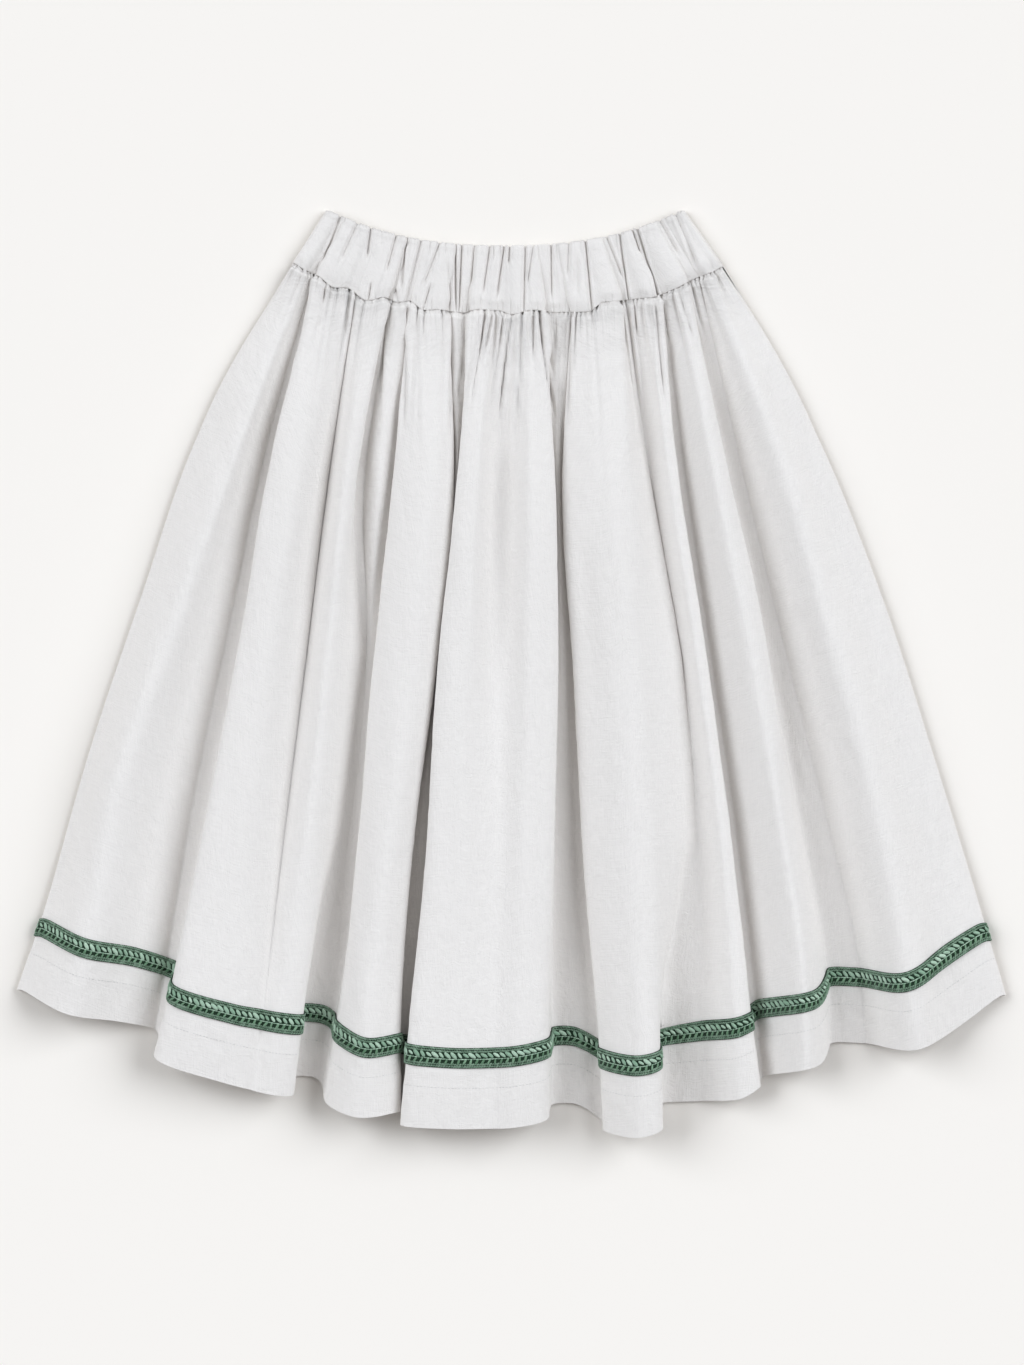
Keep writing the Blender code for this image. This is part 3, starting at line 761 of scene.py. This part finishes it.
# %% How far the puckers push
PUCKER_WIDTH = 0.5
PUCKER_SPREAD = 4.5
CROWN_AT_FOOT = 0.3
CROWN_RISES = 0.14
SMALL_ENDS = ((1.0, 0.2), (0.0, 0.16))  # the edge that a small pucker starts from, and its usual reach
SMALL_REACH = (0.6, 1.5)
SMALL_SPACING = (4.0, 9.0)
SMALL_DEPTH = (0.2, 0.6)
SMALL_WIDTH = 1.1
FOOT_FADES = 0.3
TOP_FADES = 0.6


def puckers_depth(x, v, seed):
    """How far the casing is pushed in or out by its puckers, at x and at the share v of the way up."""
    rng = np.random.default_rng(seed)
    total = np.zeros(x.shape)
    near = np.zeros(x.shape)
    puckers = list(PUCKERS)
    for edge, reach in SMALL_ENDS:
        at = x.min()
        while at < x.max():
            at += rng.uniform(*SMALL_SPACING)
            far = abs(edge - reach * rng.uniform(*SMALL_REACH))
            depth = rng.uniform(*SMALL_DEPTH)
            puckers.append(Pucker(at, at, max(edge, far), min(edge, far), depth, SMALL_WIDTH))
    for pucker in puckers:
        t = (v - pucker.foot) / (pucker.top - pucker.foot)
        centre = pucker.foot_x + (pucker.top_x - pucker.foot_x) * t
        low = 1.0 if pucker.foot == 0.0 else smooth(t / FOOT_FADES)
        high = 1.0 if pucker.top == 1.0 else 1 - smooth((t - TOP_FADES) / (1 - TOP_FADES))
        fade = low * high
        total += pucker.depth * fade * cleft(x - centre, PUCKER_WIDTH * pucker.width)
        beside = np.exp(-np.abs(x - centre) / PUCKER_SPREAD)
        near = np.maximum(near, fade * min(pucker.depth, 1.0) * beside)
    crown = CROWN_AT_FOOT + (1 - CROWN_AT_FOOT) * smooth(v / CROWN_RISES)
    return total + BAND_CROWN * (1 - near) * crown


# %% The closed ring of the casing
FRONT_DEEPEST = -2.6
BACK_DEEPEST = -0.6
BACK_PUCKERS = 0.35
EDGE_COLUMNS = 5.0
INNER_KEEPS = 1.6
TOP_STRETCH = 0.7
TOP_FROM = 0.8


def band_rows():
    """The closed ring of the casing: outer face, top edge, inner face."""
    rows, on_front = band_middle()
    v = np.repeat(BAND_LEVELS[::-1, None], rows.shape[1], axis=1)
    normals = grid_normals(rows, True)
    x = np.where(on_front, rows[:, :, 0], -rows[:, :, 0])
    push = np.where(on_front, puckers_depth(x, v, 31), BACK_PUCKERS * puckers_depth(x, v, 37))
    push = np.where(on_front, np.clip(push, FRONT_DEEPEST, None), np.clip(push, BACK_DEEPEST, 0.0))
    edge = np.minimum(np.arange(rows.shape[1]), abs(np.arange(rows.shape[1]) - BAND_COLUMNS[0]))
    edge = np.minimum(edge, rows.shape[1] - np.arange(rows.shape[1]))
    push = push * smooth(edge / EDGE_COLUMNS)[None, :]
    end = np.clip(np.minimum(v / BAND_FOOT, (1 - v) / BAND_TURN), 0.0, 1.0)
    half = BAND_WALL / 2 * np.sqrt(1 - (1 - end) ** 2)
    upward = rows[0] - rows[1]
    upward /= np.linalg.norm(upward, axis=-1, keepdims=True)
    rows += upward[None] * (TOP_STRETCH * push * smooth((v - TOP_FROM) / (1 - TOP_FROM)))[:, :, None]
    shown = half / (BAND_WALL / 2)
    outer = rows + normals * (half + push * shown)[:, :, None]
    inner = rows - normals * (half + np.maximum(-INNER_KEEPS - push, 0.0) * shown)[:, :, None]
    return np.concatenate([outer[::-1], inner[1:-1]], axis=0)


BAND_ROWS = band_rows()
band = grid_mesh("waistband_cloth", BAND_ROWS[::-1], wrap_columns=True, wrap_rows=True)
print("waistband_cloth has", len(band.data.polygons) * 2, "triangles")

# %% [markdown]
# ## Braid: the ground
#
# The braid is one narrow crochet ribbon sewn flat round the skirt. It follows two levels of the cloth, a
# little outside it, so it rides over every fold. First comes its dark ground, a thin strip that shows in
# the holes between the stitches.

# %% Model the braid's ground
BRAID_LEVELS = np.linspace(BRAID_TOP, BRAID_FOOT, 7)
GROUND_LIFT = 1.2
GROUND_WALL = 1.1
RING = np.concatenate([FRONT_ROWS[:, :-1], BACK_ROWS[:, :-1]], axis=1)


def ring_rows(levels, lift):
    """Closed rows round the skirt at levels, lift mm outside the middle of the cloth, and their normals."""
    soft = (np.roll(RING, 1, axis=1) + 2 * RING + np.roll(RING, -1, axis=1)) / 4
    outward = grid_normals(soft, True)
    place = np.interp(levels, LEVELS, np.arange(len(LEVELS)))
    low = np.minimum(place.astype(int), len(LEVELS) - 2)
    share = (place - low)[:, None, None]
    rows = soft[low] * (1 - share) + soft[low + 1] * share
    normals = outward[low] * (1 - share) + outward[low + 1] * share
    normals /= np.linalg.norm(normals, axis=-1, keepdims=True)
    return rows + normals * lift, normals


GROUND_ROWS = ring_rows(BRAID_LEVELS, GROUND_LIFT)[0]
braid_ground = grid_mesh("braid_ground", GROUND_ROWS, wrap_columns=True)
ground_wall = braid_ground.modifiers.new("Wall", "SOLIDIFY")
ground_wall.thickness = GROUND_WALL * MM
ground_wall.offset = 0.0

# %% [markdown]
# ## One tree for every stitch
#
# Leaves, cords and hem stitches are all the same idea: a small rounded bead, repeated along a line at an
# even pitch and turned to lie on the cloth. One Geometry Nodes tree does it. The line carries a vector that
# points out of the cloth, so each bead can be turned to face outward. Each bead also gets a random tone,
# which its material reads to vary the yarn. The tree ends with plain geometry, because instances can't be
# exported.

# %% Build the stitch tree
def add_node(tree, kind, settings=None, **inputs):
    """A node with its settings; each input is a value or another node's output."""
    made = tree.nodes.new(kind)
    for name, value in (settings or {}).items():
        setattr(made, name, value)
    for name, value in inputs.items():
        socket = made.inputs[name.replace("_", " ")]
        if isinstance(value, bpy.types.NodeSocket):
            tree.links.new(value, socket)
        else:
            socket.default_value = value
    return made


def add_math(tree, operation, *values):
    """A Math node's result."""
    made = tree.nodes.new("ShaderNodeMath")
    made.operation = operation
    for socket, value in zip(made.inputs, values):
        if isinstance(value, bpy.types.NodeSocket):
            tree.links.new(value, socket)
        else:
            socket.default_value = value
    return made.outputs[0]


def random_between(tree, seed, extra, low=0.0, high=1.0):
    """A random number for each bead, between low and high."""
    if extra:
        seed = add_math(tree, "ADD", seed, extra)
    made = add_node(tree, "FunctionNodeRandomValue", {"data_type": "FLOAT"}, Seed=seed)
    made.inputs[2].default_value = low
    made.inputs[3].default_value = high
    return made.outputs[1]


# %% The stitch tree itself
BEAD_SIZES = (0.78, 1.18)


def stitch_tree():
    """Beads along a line, facing the line's own outward vector."""
    tree = bpy.data.node_groups.new("Stitches along a line", "GeometryNodeTree")
    sockets = tree.interface
    sockets.new_socket("Line", in_out="INPUT", socket_type="NodeSocketGeometry")
    for name in ("Pitch", "Length", "Width", "Height", "Lean", "Sway"):
        sockets.new_socket(name, in_out="INPUT", socket_type="NodeSocketFloat")
    for name in ("Seed", "Around", "Rings"):
        sockets.new_socket(name, in_out="INPUT", socket_type="NodeSocketInt")
    sockets.new_socket("Yarn", in_out="INPUT", socket_type="NodeSocketMaterial")
    sockets.new_socket("Stitches", in_out="OUTPUT", socket_type="NodeSocketGeometry")
    given = tree.nodes.new("NodeGroupInput").outputs
    curve = add_node(tree, "GeometryNodeMeshToCurve", Mesh=given["Line"])
    spaced = add_node(tree, "GeometryNodeResampleCurve", {"mode": "LENGTH"},
                      Curve=curve.outputs["Curve"], Length=given["Pitch"])
    tangent = add_node(tree, "GeometryNodeInputTangent")
    outward = add_node(tree, "GeometryNodeInputNamedAttribute", {"data_type": "FLOAT_VECTOR"}, Name="outward")
    onto = add_node(tree, "FunctionNodeAlignRotationToVector", {"axis": "X"}, Vector=tangent.outputs[0])
    facing = add_node(tree, "FunctionNodeAlignRotationToVector", {"axis": "Z", "pivot_axis": "X"},
                      Rotation=onto.outputs[0], Vector=outward.outputs["Attribute"])
    sway = random_between(tree, given["Seed"], 0)
    swing = add_math(tree, "MULTIPLY_ADD", sway, given["Sway"], given["Lean"])
    turn = add_node(tree, "ShaderNodeCombineXYZ", Z=swing)
    leaning = add_node(tree, "FunctionNodeRotateRotation", {"rotation_space": "LOCAL"},
                       Rotation=facing.outputs[0], Rotate_By=turn.outputs[0])
    ball = add_node(tree, "GeometryNodeMeshUVSphere",
                    Segments=given["Around"], Rings=given["Rings"], Radius=0.5)
    upright = add_node(tree, "GeometryNodeTransform", Geometry=ball.outputs["Mesh"],
                       Rotation=(0.0, math.pi / 2, 0.0))
    size = add_node(tree, "ShaderNodeCombineXYZ", X=given["Length"], Y=given["Width"], Z=given["Height"])
    bead = add_node(tree, "GeometryNodeTransform", Geometry=upright.outputs[0], Scale=size.outputs[0])
    placed = add_node(tree, "GeometryNodeInstanceOnPoints",
                      Points=spaced.outputs[0], Instance=bead.outputs[0], Rotation=leaning.outputs[0],
                      Scale=random_between(tree, given["Seed"], 1, *BEAD_SIZES))
    toned = add_node(tree, "GeometryNodeStoreNamedAttribute", {"data_type": "FLOAT", "domain": "INSTANCE"},
                     Geometry=placed.outputs[0], Name="tone", Value=random_between(tree, given["Seed"], 2))
    real = add_node(tree, "GeometryNodeRealizeInstances", Geometry=toned.outputs[0])
    smoothed = add_node(tree, "GeometryNodeSetShadeSmooth", Geometry=real.outputs[0])
    painted = add_node(tree, "GeometryNodeSetMaterial", Geometry=smoothed.outputs[0], Material=given["Yarn"])
    tree.links.new(painted.outputs[0], tree.nodes.new("NodeGroupOutput").inputs[0])
    return tree


STITCHES = stitch_tree()
print("stitch tree nodes:", len(STITCHES.nodes))

# %% [markdown]
# ## Yarn and cotton
#
# White cotton looks flat without its small unevenness. One shared group gives the weave: crossing threads,
# thicker slubs here and there, and faint wrinkles that ironing leaves. It reads the UV map, which is in
# metres, so the threads follow the cloth into every fold. A second group gives the green yarn its fibres.
# Each group puts out only a tone and a height; the shader itself stays in the material, where the export
# can read it.

# %% Helpers for the groups
def effect_group(name, inputs, vectors=("Vector",)):
    """A shader node group with named float inputs after its vectors, and a tone and a height as outputs."""
    tree = bpy.data.node_groups.new(name, "ShaderNodeTree")
    for title in vectors:
        tree.interface.new_socket(title, in_out="INPUT", socket_type="NodeSocketVector")
    for title, value in inputs.items():
        tree.interface.new_socket(title, in_out="INPUT", socket_type="NodeSocketFloat").default_value = value
    tree.interface.new_socket("Tone", in_out="OUTPUT", socket_type="NodeSocketFloat")
    tree.interface.new_socket("Height", in_out="OUTPUT", socket_type="NodeSocketFloat")
    return tree, tree.nodes.new("NodeGroupInput").outputs, tree.nodes.new("NodeGroupOutput").inputs


def stretched(tree, vector, x, y):
    """The vector with its own scale along and across."""
    return add_node(tree, "ShaderNodeMapping", Vector=vector, Scale=(x, y, 1.0)).outputs[0]


def noise(tree, vector, scale, detail):
    """A noise between 0 and 1."""
    return add_node(tree, "ShaderNodeTexNoise", Vector=vector, Scale=scale, Detail=detail).outputs[0]


# %% The weave group
THREAD_SCALE = 320.0
LONG_SLUBS = (900.0, 60.0)  # noise cells in a metre across and down the cloth
CROSS_SLUBS = (60.0, 800.0)
WRINKLES = (75.0, 40.0)
PLEATS = (330.0, 16.0)
PLEAT_REACH = 0.05
THREAD_HEIGHT = 0.05
SLUB_HEIGHT = 0.34
WRINKLE_HEIGHT = 1.6
PLEAT_HEIGHT = 2.4
SLUB_TONE = 0.7


def weave_group():
    """Threads, slubs, wrinkles and fine gathers of a plain-woven cotton, on UV maps in metres."""
    amounts = {"Threads": 1.0, "Slubs": 1.0, "Wrinkles": 1.0, "Gathers": 0.0}
    tree, given, out = effect_group("Cotton weave", amounts, ("Vector", "Seam"))
    where = given["Vector"]
    heights = []
    for direction in ("X", "Y"):
        wave = add_node(tree, "ShaderNodeTexWave", {"bands_direction": direction}, Vector=where,
                        Scale=THREAD_SCALE, Distortion=1.2, Detail=1.0, Detail_Scale=0.4)
        heights.append(wave.outputs["Fac"])
    threads = add_math(tree, "MULTIPLY", add_math(tree, "ADD", *heights), given["Threads"])
    long_slubs = noise(tree, stretched(tree, where, *LONG_SLUBS), 1.0, 3.0)
    cross_slubs = noise(tree, stretched(tree, where, *CROSS_SLUBS), 1.0, 3.0)
    slubs = add_math(tree, "SUBTRACT", add_math(tree, "ADD", long_slubs, cross_slubs), 1.0)
    slubs = add_math(tree, "MULTIPLY", slubs, given["Slubs"])
    folds = noise(tree, stretched(tree, where, *WRINKLES), 1.0, 4.0)
    ridges = add_math(tree, "ABSOLUTE", add_math(tree, "SUBTRACT", folds, 0.5))
    wrinkles = add_math(tree, "MULTIPLY", ridges, given["Wrinkles"])
    below = add_node(tree, "ShaderNodeSeparateXYZ", Vector=given["Seam"]).outputs["Y"]
    fade = add_node(tree, "ShaderNodeMapRange", {"interpolation_type": "SMOOTHSTEP"}, Value=below)
    for socket, value in zip(fade.inputs[1:5], (0.0, PLEAT_REACH, 1.0, 0.0)):
        socket.default_value = value
    pleats = noise(tree, stretched(tree, given["Seam"], *PLEATS), 1.0, 2.0)
    pleats = add_math(tree, "MULTIPLY", add_math(tree, "MULTIPLY", pleats, fade.outputs[0]), given["Gathers"])
    height = add_math(tree, "MULTIPLY", slubs, SLUB_HEIGHT)
    height = add_math(tree, "MULTIPLY_ADD", threads, THREAD_HEIGHT, height)
    height = add_math(tree, "MULTIPLY_ADD", wrinkles, WRINKLE_HEIGHT, height)
    tree.links.new(add_math(tree, "MULTIPLY_ADD", pleats, PLEAT_HEIGHT, height), out["Height"])
    tree.links.new(add_math(tree, "MULTIPLY_ADD", slubs, SLUB_TONE, 0.5), out["Tone"])
    return tree


# %% The yarn group
FUZZ_SCALE = 2400.0
PLY_HEIGHT = 0.16
FUZZ_HEIGHT = 0.12


def yarn_group():
    """Twisted plies and loose fibres of a crochet yarn."""
    tree, given, out = effect_group("Crochet yarn", {"Plies": 900.0, "Fuzz": 1.0})
    plies = add_node(tree, "ShaderNodeTexWave", {"bands_direction": "DIAGONAL"}, Vector=given["Vector"],
                     Scale=given["Plies"], Distortion=3.0, Detail=2.0, Detail_Scale=1.0).outputs["Fac"]
    fuzz = add_math(tree, "MULTIPLY", noise(tree, given["Vector"], FUZZ_SCALE, 3.0), given["Fuzz"])
    height = add_math(tree, "MULTIPLY_ADD", plies, PLY_HEIGHT, add_math(tree, "MULTIPLY", fuzz, FUZZ_HEIGHT))
    tree.links.new(height, out["Height"])
    tone = add_math(tree, "MULTIPLY_ADD", plies, 0.5, add_math(tree, "MULTIPLY", fuzz, 0.5))
    tree.links.new(tone, out["Tone"])
    return tree


WEAVE = weave_group()
YARN = yarn_group()
print("shared effects:", WEAVE.name, "and", YARN.name)


# %% Materials
def new_material(name, roughness, sheen):
    """A material with its Principled shader, and that shader."""
    made = bpy.data.materials.new(name)
    made.use_nodes = True
    shader = made.node_tree.nodes["Principled BSDF"]
    shader.inputs["Roughness"].default_value = roughness
    shader.inputs["Specular IOR Level"].default_value = 0.25
    shader.inputs["Sheen Weight"].default_value = sheen
    shader.inputs["Sheen Roughness"].default_value = 0.5
    return made, shader


def colour_mix(tree, factor, dark, light):
    """A colour between dark and light."""
    ramp = tree.nodes.new("ShaderNodeMix")
    ramp.data_type = "RGBA"
    tree.links.new(factor, ramp.inputs[0])
    ramp.inputs[6].default_value = (*dark, 1.0)
    ramp.inputs[7].default_value = (*light, 1.0)
    return ramp.outputs[2]


def cotton(name, dark, light, wrinkles, gathers):
    """Matt white cotton with its weave, its slubs and, where gathers is above 0, fine pleats at the seam."""
    made, shader = new_material(name, roughness=0.9, sheen=0.15)
    tree = made.node_tree
    maps = {"Vector": "cloth", "Seam": "gathers"} if gathers else {"Vector": "cloth"}
    places = {}
    for title, uv in maps.items():
        places[title] = add_node(tree, "ShaderNodeUVMap", {"uv_map": uv}).outputs[0]
    weave = add_node(tree, "ShaderNodeGroup", {"node_tree": WEAVE},
                     Wrinkles=wrinkles, Gathers=gathers, **places)
    tree.links.new(colour_mix(tree, weave.outputs["Tone"], dark, light), shader.inputs["Base Color"])
    bump = add_node(tree, "ShaderNodeBump", Height=weave.outputs["Height"], Distance=MM, Strength=1.0)
    tree.links.new(bump.outputs[0], shader.inputs["Normal"])
    return made


BEAD_TONE = 0.65


def yarn(name, dark, light):
    """Green crochet yarn whose tone changes from bead to bead and along its plies."""
    made, shader = new_material(name, roughness=0.85, sheen=0.2)
    tree = made.node_tree
    place = add_node(tree, "ShaderNodeTexCoord")
    plies = add_node(tree, "ShaderNodeGroup", {"node_tree": YARN}, Vector=place.outputs["Object"])
    tone = add_node(tree, "ShaderNodeAttribute", {"attribute_name": "tone"})
    strands = add_math(tree, "MULTIPLY", plies.outputs["Tone"], 1 - BEAD_TONE)
    mixed = add_math(tree, "MULTIPLY_ADD", tone.outputs["Fac"], BEAD_TONE, strands)
    tree.links.new(colour_mix(tree, mixed, dark, light), shader.inputs["Base Color"])
    bump = add_node(tree, "ShaderNodeBump", Height=plies.outputs["Height"], Distance=MM, Strength=1.0)
    tree.links.new(bump.outputs[0], shader.inputs["Normal"])
    return made


# %% The skirt's own cotton and yarns
PANEL_COTTON = cotton("white_cotton_panel", (0.75, 0.725, 0.70), (0.84, 0.814, 0.785), 1.0, 1.0)
BAND_COTTON = cotton("white_cotton_casing", (0.75, 0.725, 0.70), (0.845, 0.819, 0.79), 0.4, 0.0)
DARK_GREEN = yarn("dark_green_ground", (0.016, 0.045, 0.022), (0.045, 0.095, 0.055))
MINT = yarn("mint_leaf_yarn", (0.24, 0.40, 0.28), (0.62, 0.78, 0.64))
MID_GREEN = yarn("mid_green_yarn", (0.12, 0.24, 0.14), (0.33, 0.50, 0.35))
EDGE_GREEN = yarn("grey_green_cord", (0.14, 0.24, 0.16), (0.35, 0.48, 0.37))
WHITE_THREAD = yarn("white_thread", (0.60, 0.60, 0.58), (0.74, 0.74, 0.72))
for piece in (front, back):
    piece.data.materials.append(PANEL_COTTON)
band.data.materials.append(BAND_COTTON)
braid_ground.data.materials.append(DARK_GREEN)
print("materials:", sorted(material.name for material in bpy.data.materials))

# %% [markdown]
# ## Braid and hem: the stitches
#
# Across its width the braid has a twisted cord along each edge, a row of light leaves that lean one way, a
# thin spine a little below the middle, and a row of darker leaves that lean the other way. Each row is one
# line at its own level, with its own sizes. The hem's stitches use the same tree with a thread's sizes.

# %% The rows of the braid
Row = namedtuple("Row", "name share lift pitch length width height lean sway around rings yarn")
BRAID_ROWS = (
    Row("edge_top_outer", 0.07, 1.9, 2.3, 3.3, 1.9, 1.5, -0.45, 0.2, 5, 4, EDGE_GREEN),
    Row("edge_top_inner", 0.19, 1.9, 2.3, 3.3, 1.9, 1.5, -0.45, 0.2, 5, 4, EDGE_GREEN),
    Row("leaves_top", 0.375, 2.0, 5.6, 7.4, 3.3, 1.9, -0.95, 0.45, 8, 6, MINT),
    Row("spine", 0.56, 2.1, 2.8, 3.4, 1.2, 1.1, 0.0, 0.2, 5, 4, MINT),
    Row("leaves_low", 0.69, 1.9, 5.6, 5.8, 2.2, 1.6, 0.9, 0.45, 7, 6, MID_GREEN),
    Row("edge_low_inner", 0.82, 1.9, 2.3, 3.3, 1.8, 1.5, 0.45, 0.2, 5, 4, EDGE_GREEN),
    Row("edge_low_outer", 0.93, 1.9, 2.3, 3.3, 1.8, 1.5, 0.45, 0.2, 5, 4, EDGE_GREEN),
)
HEM_ROW = Row("hem_stitches", 0, 0.7, 3.1, 2.1, 0.45, 0.4, 0.0, 0.05, 5, 4, WHITE_THREAD)
HEM_STITCH_LEVEL = 0.9495
print("rows across the braid:", len(BRAID_ROWS))


# %% Lay the stitches
def stitch_line(row, level, seed):
    """One row of stitches round the skirt at a level, as a plain mesh."""
    points, normals = ring_rows(np.array([level]), row.lift)
    count = points.shape[1]
    mesh = bpy.data.meshes.new(row.name)
    edges = [(index, (index + 1) % count) for index in range(count)]
    mesh.from_pydata((points[0] * MM).tolist(), edges, [])
    mesh.attributes.new("outward", "FLOAT_VECTOR", "POINT").data.foreach_set("vector", normals[0].ravel())
    line = bpy.data.objects.new(row.name, mesh)
    bpy.context.scene.collection.objects.link(line)
    laid = line.modifiers.new("Stitches", "NODES")
    laid.node_group = STITCHES
    values = {"Pitch": row.pitch * MM, "Length": row.length * MM, "Width": row.width * MM,
              "Height": row.height * MM, "Lean": row.lean, "Sway": row.sway, "Seed": seed,
              "Around": row.around, "Rings": row.rings, "Yarn": row.yarn}
    for item in STITCHES.interface.items_tree:
        if item.in_out == "INPUT" and item.name in values:
            laid[item.identifier] = values[item.name]
    graph = bpy.context.evaluated_depsgraph_get()
    plain = bpy.data.meshes.new_from_object(line.evaluated_get(graph), depsgraph=graph)
    bpy.data.objects.remove(line)
    piece = bpy.data.objects.new("braid_" + row.name if row in BRAID_ROWS else row.name, plain)
    bpy.context.scene.collection.objects.link(piece)
    print(piece.name, "has", sum(len(face.vertices) - 2 for face in plain.polygons), "triangles")
    return piece


braid_stitches = []
for number, row in enumerate(BRAID_ROWS):
    level = BRAID_TOP + (BRAID_FOOT - BRAID_TOP) * row.share
    braid_stitches.append(stitch_line(row, level, 40 + number))
hem_stitches = stitch_line(HEM_ROW, HEM_STITCH_LEVEL, 60)

# %% [markdown]
# ## Tie each piece to the body
#
# Every piece rides on the skirt's one body. Each cloth stands for a solid of the frame, and that solid is
# hidden.

# %% Tie the pieces to the frame
CLOTHS = ((front, "skirt_front"), (back, "skirt_back"), (band, "waistband"), (braid_ground, "braid_trim"))
for piece, node in CLOTHS:
    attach(piece, BODY)
    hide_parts(node)
for piece in braid_stitches:
    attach(piece, BODY)
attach(hem_stitches, BODY)
print(len(CLOTHS), "cloths and", len(braid_stitches) + 1, "rows of stitches ride on", BODY)

# %% [markdown]
# ## Floor, light and camera
#
# The skirt is seen from straight above on a pale floor. White cloth shows its folds only where the light
# falls off, so two wide soft windows stand low on the left and the right, a little beyond the waist: both
# flanks of a fold are lit, each from its own side, and the valleys between folds are softly shaded. The white
# room around fills the shadows. A gamma a little below 1 deepens the soft shades without making the cloth's
# crowns darker.

# %% Floor
FLOOR_REACH = 6.0
FLOOR_Z = -0.0001
corners = [(x * FLOOR_REACH, y * FLOOR_REACH, FLOOR_Z) for x, y in ((-1, -1), (1, -1), (1, 1), (-1, 1))]
floor_mesh = bpy.data.meshes.new("floor")
floor_mesh.from_pydata(corners, [], [(0, 1, 2, 3)])
floor = bpy.data.objects.new("floor", floor_mesh)
bpy.context.scene.collection.objects.link(floor)
floor_material, floor_shader = new_material("pale_floor", roughness=0.8, sheen=0.0)
floor_shader.inputs["Base Color"].default_value = (0.866, 0.832, 0.785, 1.0)
floor_mesh.materials.append(floor_material)
print("the floor is", 2 * FLOOR_REACH, "m wide")

# %% Light
ROOM_COLOUR = (1.0, 0.99, 1.0, 1.0)
ROOM_LIGHT = 0.352
WINDOWS = ((-1, "left_window", 1.90), (1, "right_window", 2.10))
WINDOW_COLOUR = (0.90, 0.944, 1.0)
WINDOW_WIDTH = math.radians(44)
WINDOW_TOWARD = (1.15, 0.42, 1.0)
world = bpy.data.worlds.new("white_room")
world.use_nodes = True
world.node_tree.nodes["Background"].inputs["Color"].default_value = ROOM_COLOUR
world.node_tree.nodes["Background"].inputs["Strength"].default_value = ROOM_LIGHT
bpy.context.scene.world = world
for side, name, energy in WINDOWS:
    window_data = bpy.data.lights.new(name, "SUN")
    window_data.energy = energy
    window_data.color = WINDOW_COLOUR
    window_data.angle = WINDOW_WIDTH
    window = bpy.data.objects.new(name, window_data)
    toward = Vector((side * WINDOW_TOWARD[0], *WINDOW_TOWARD[1:]))
    window.rotation_euler = toward.to_track_quat("Z", "Y").to_euler()
    bpy.context.scene.collection.objects.link(window)
bpy.context.scene.view_settings.view_transform = "Standard"
bpy.context.scene.view_settings.gamma = 0.85
print("windows:", [name for _, name, _ in WINDOWS])

# %% Camera
CAMERA_HEIGHT = 14.0
CAMERA_Y = -0.0084
SENSOR = 36.0
VIEW_TALL = 1.2285
camera_data = bpy.data.cameras.new("camera")
camera_data.sensor_width = SENSOR
camera_data.lens = SENSOR * CAMERA_HEIGHT / VIEW_TALL
camera = bpy.data.objects.new("camera", camera_data)
camera.location = (0.0, CAMERA_Y, CAMERA_HEIGHT)
bpy.context.scene.collection.objects.link(camera)
bpy.context.scene.camera = camera
print("the camera is", CAMERA_HEIGHT, "m up and sees", VIEW_TALL, "m")
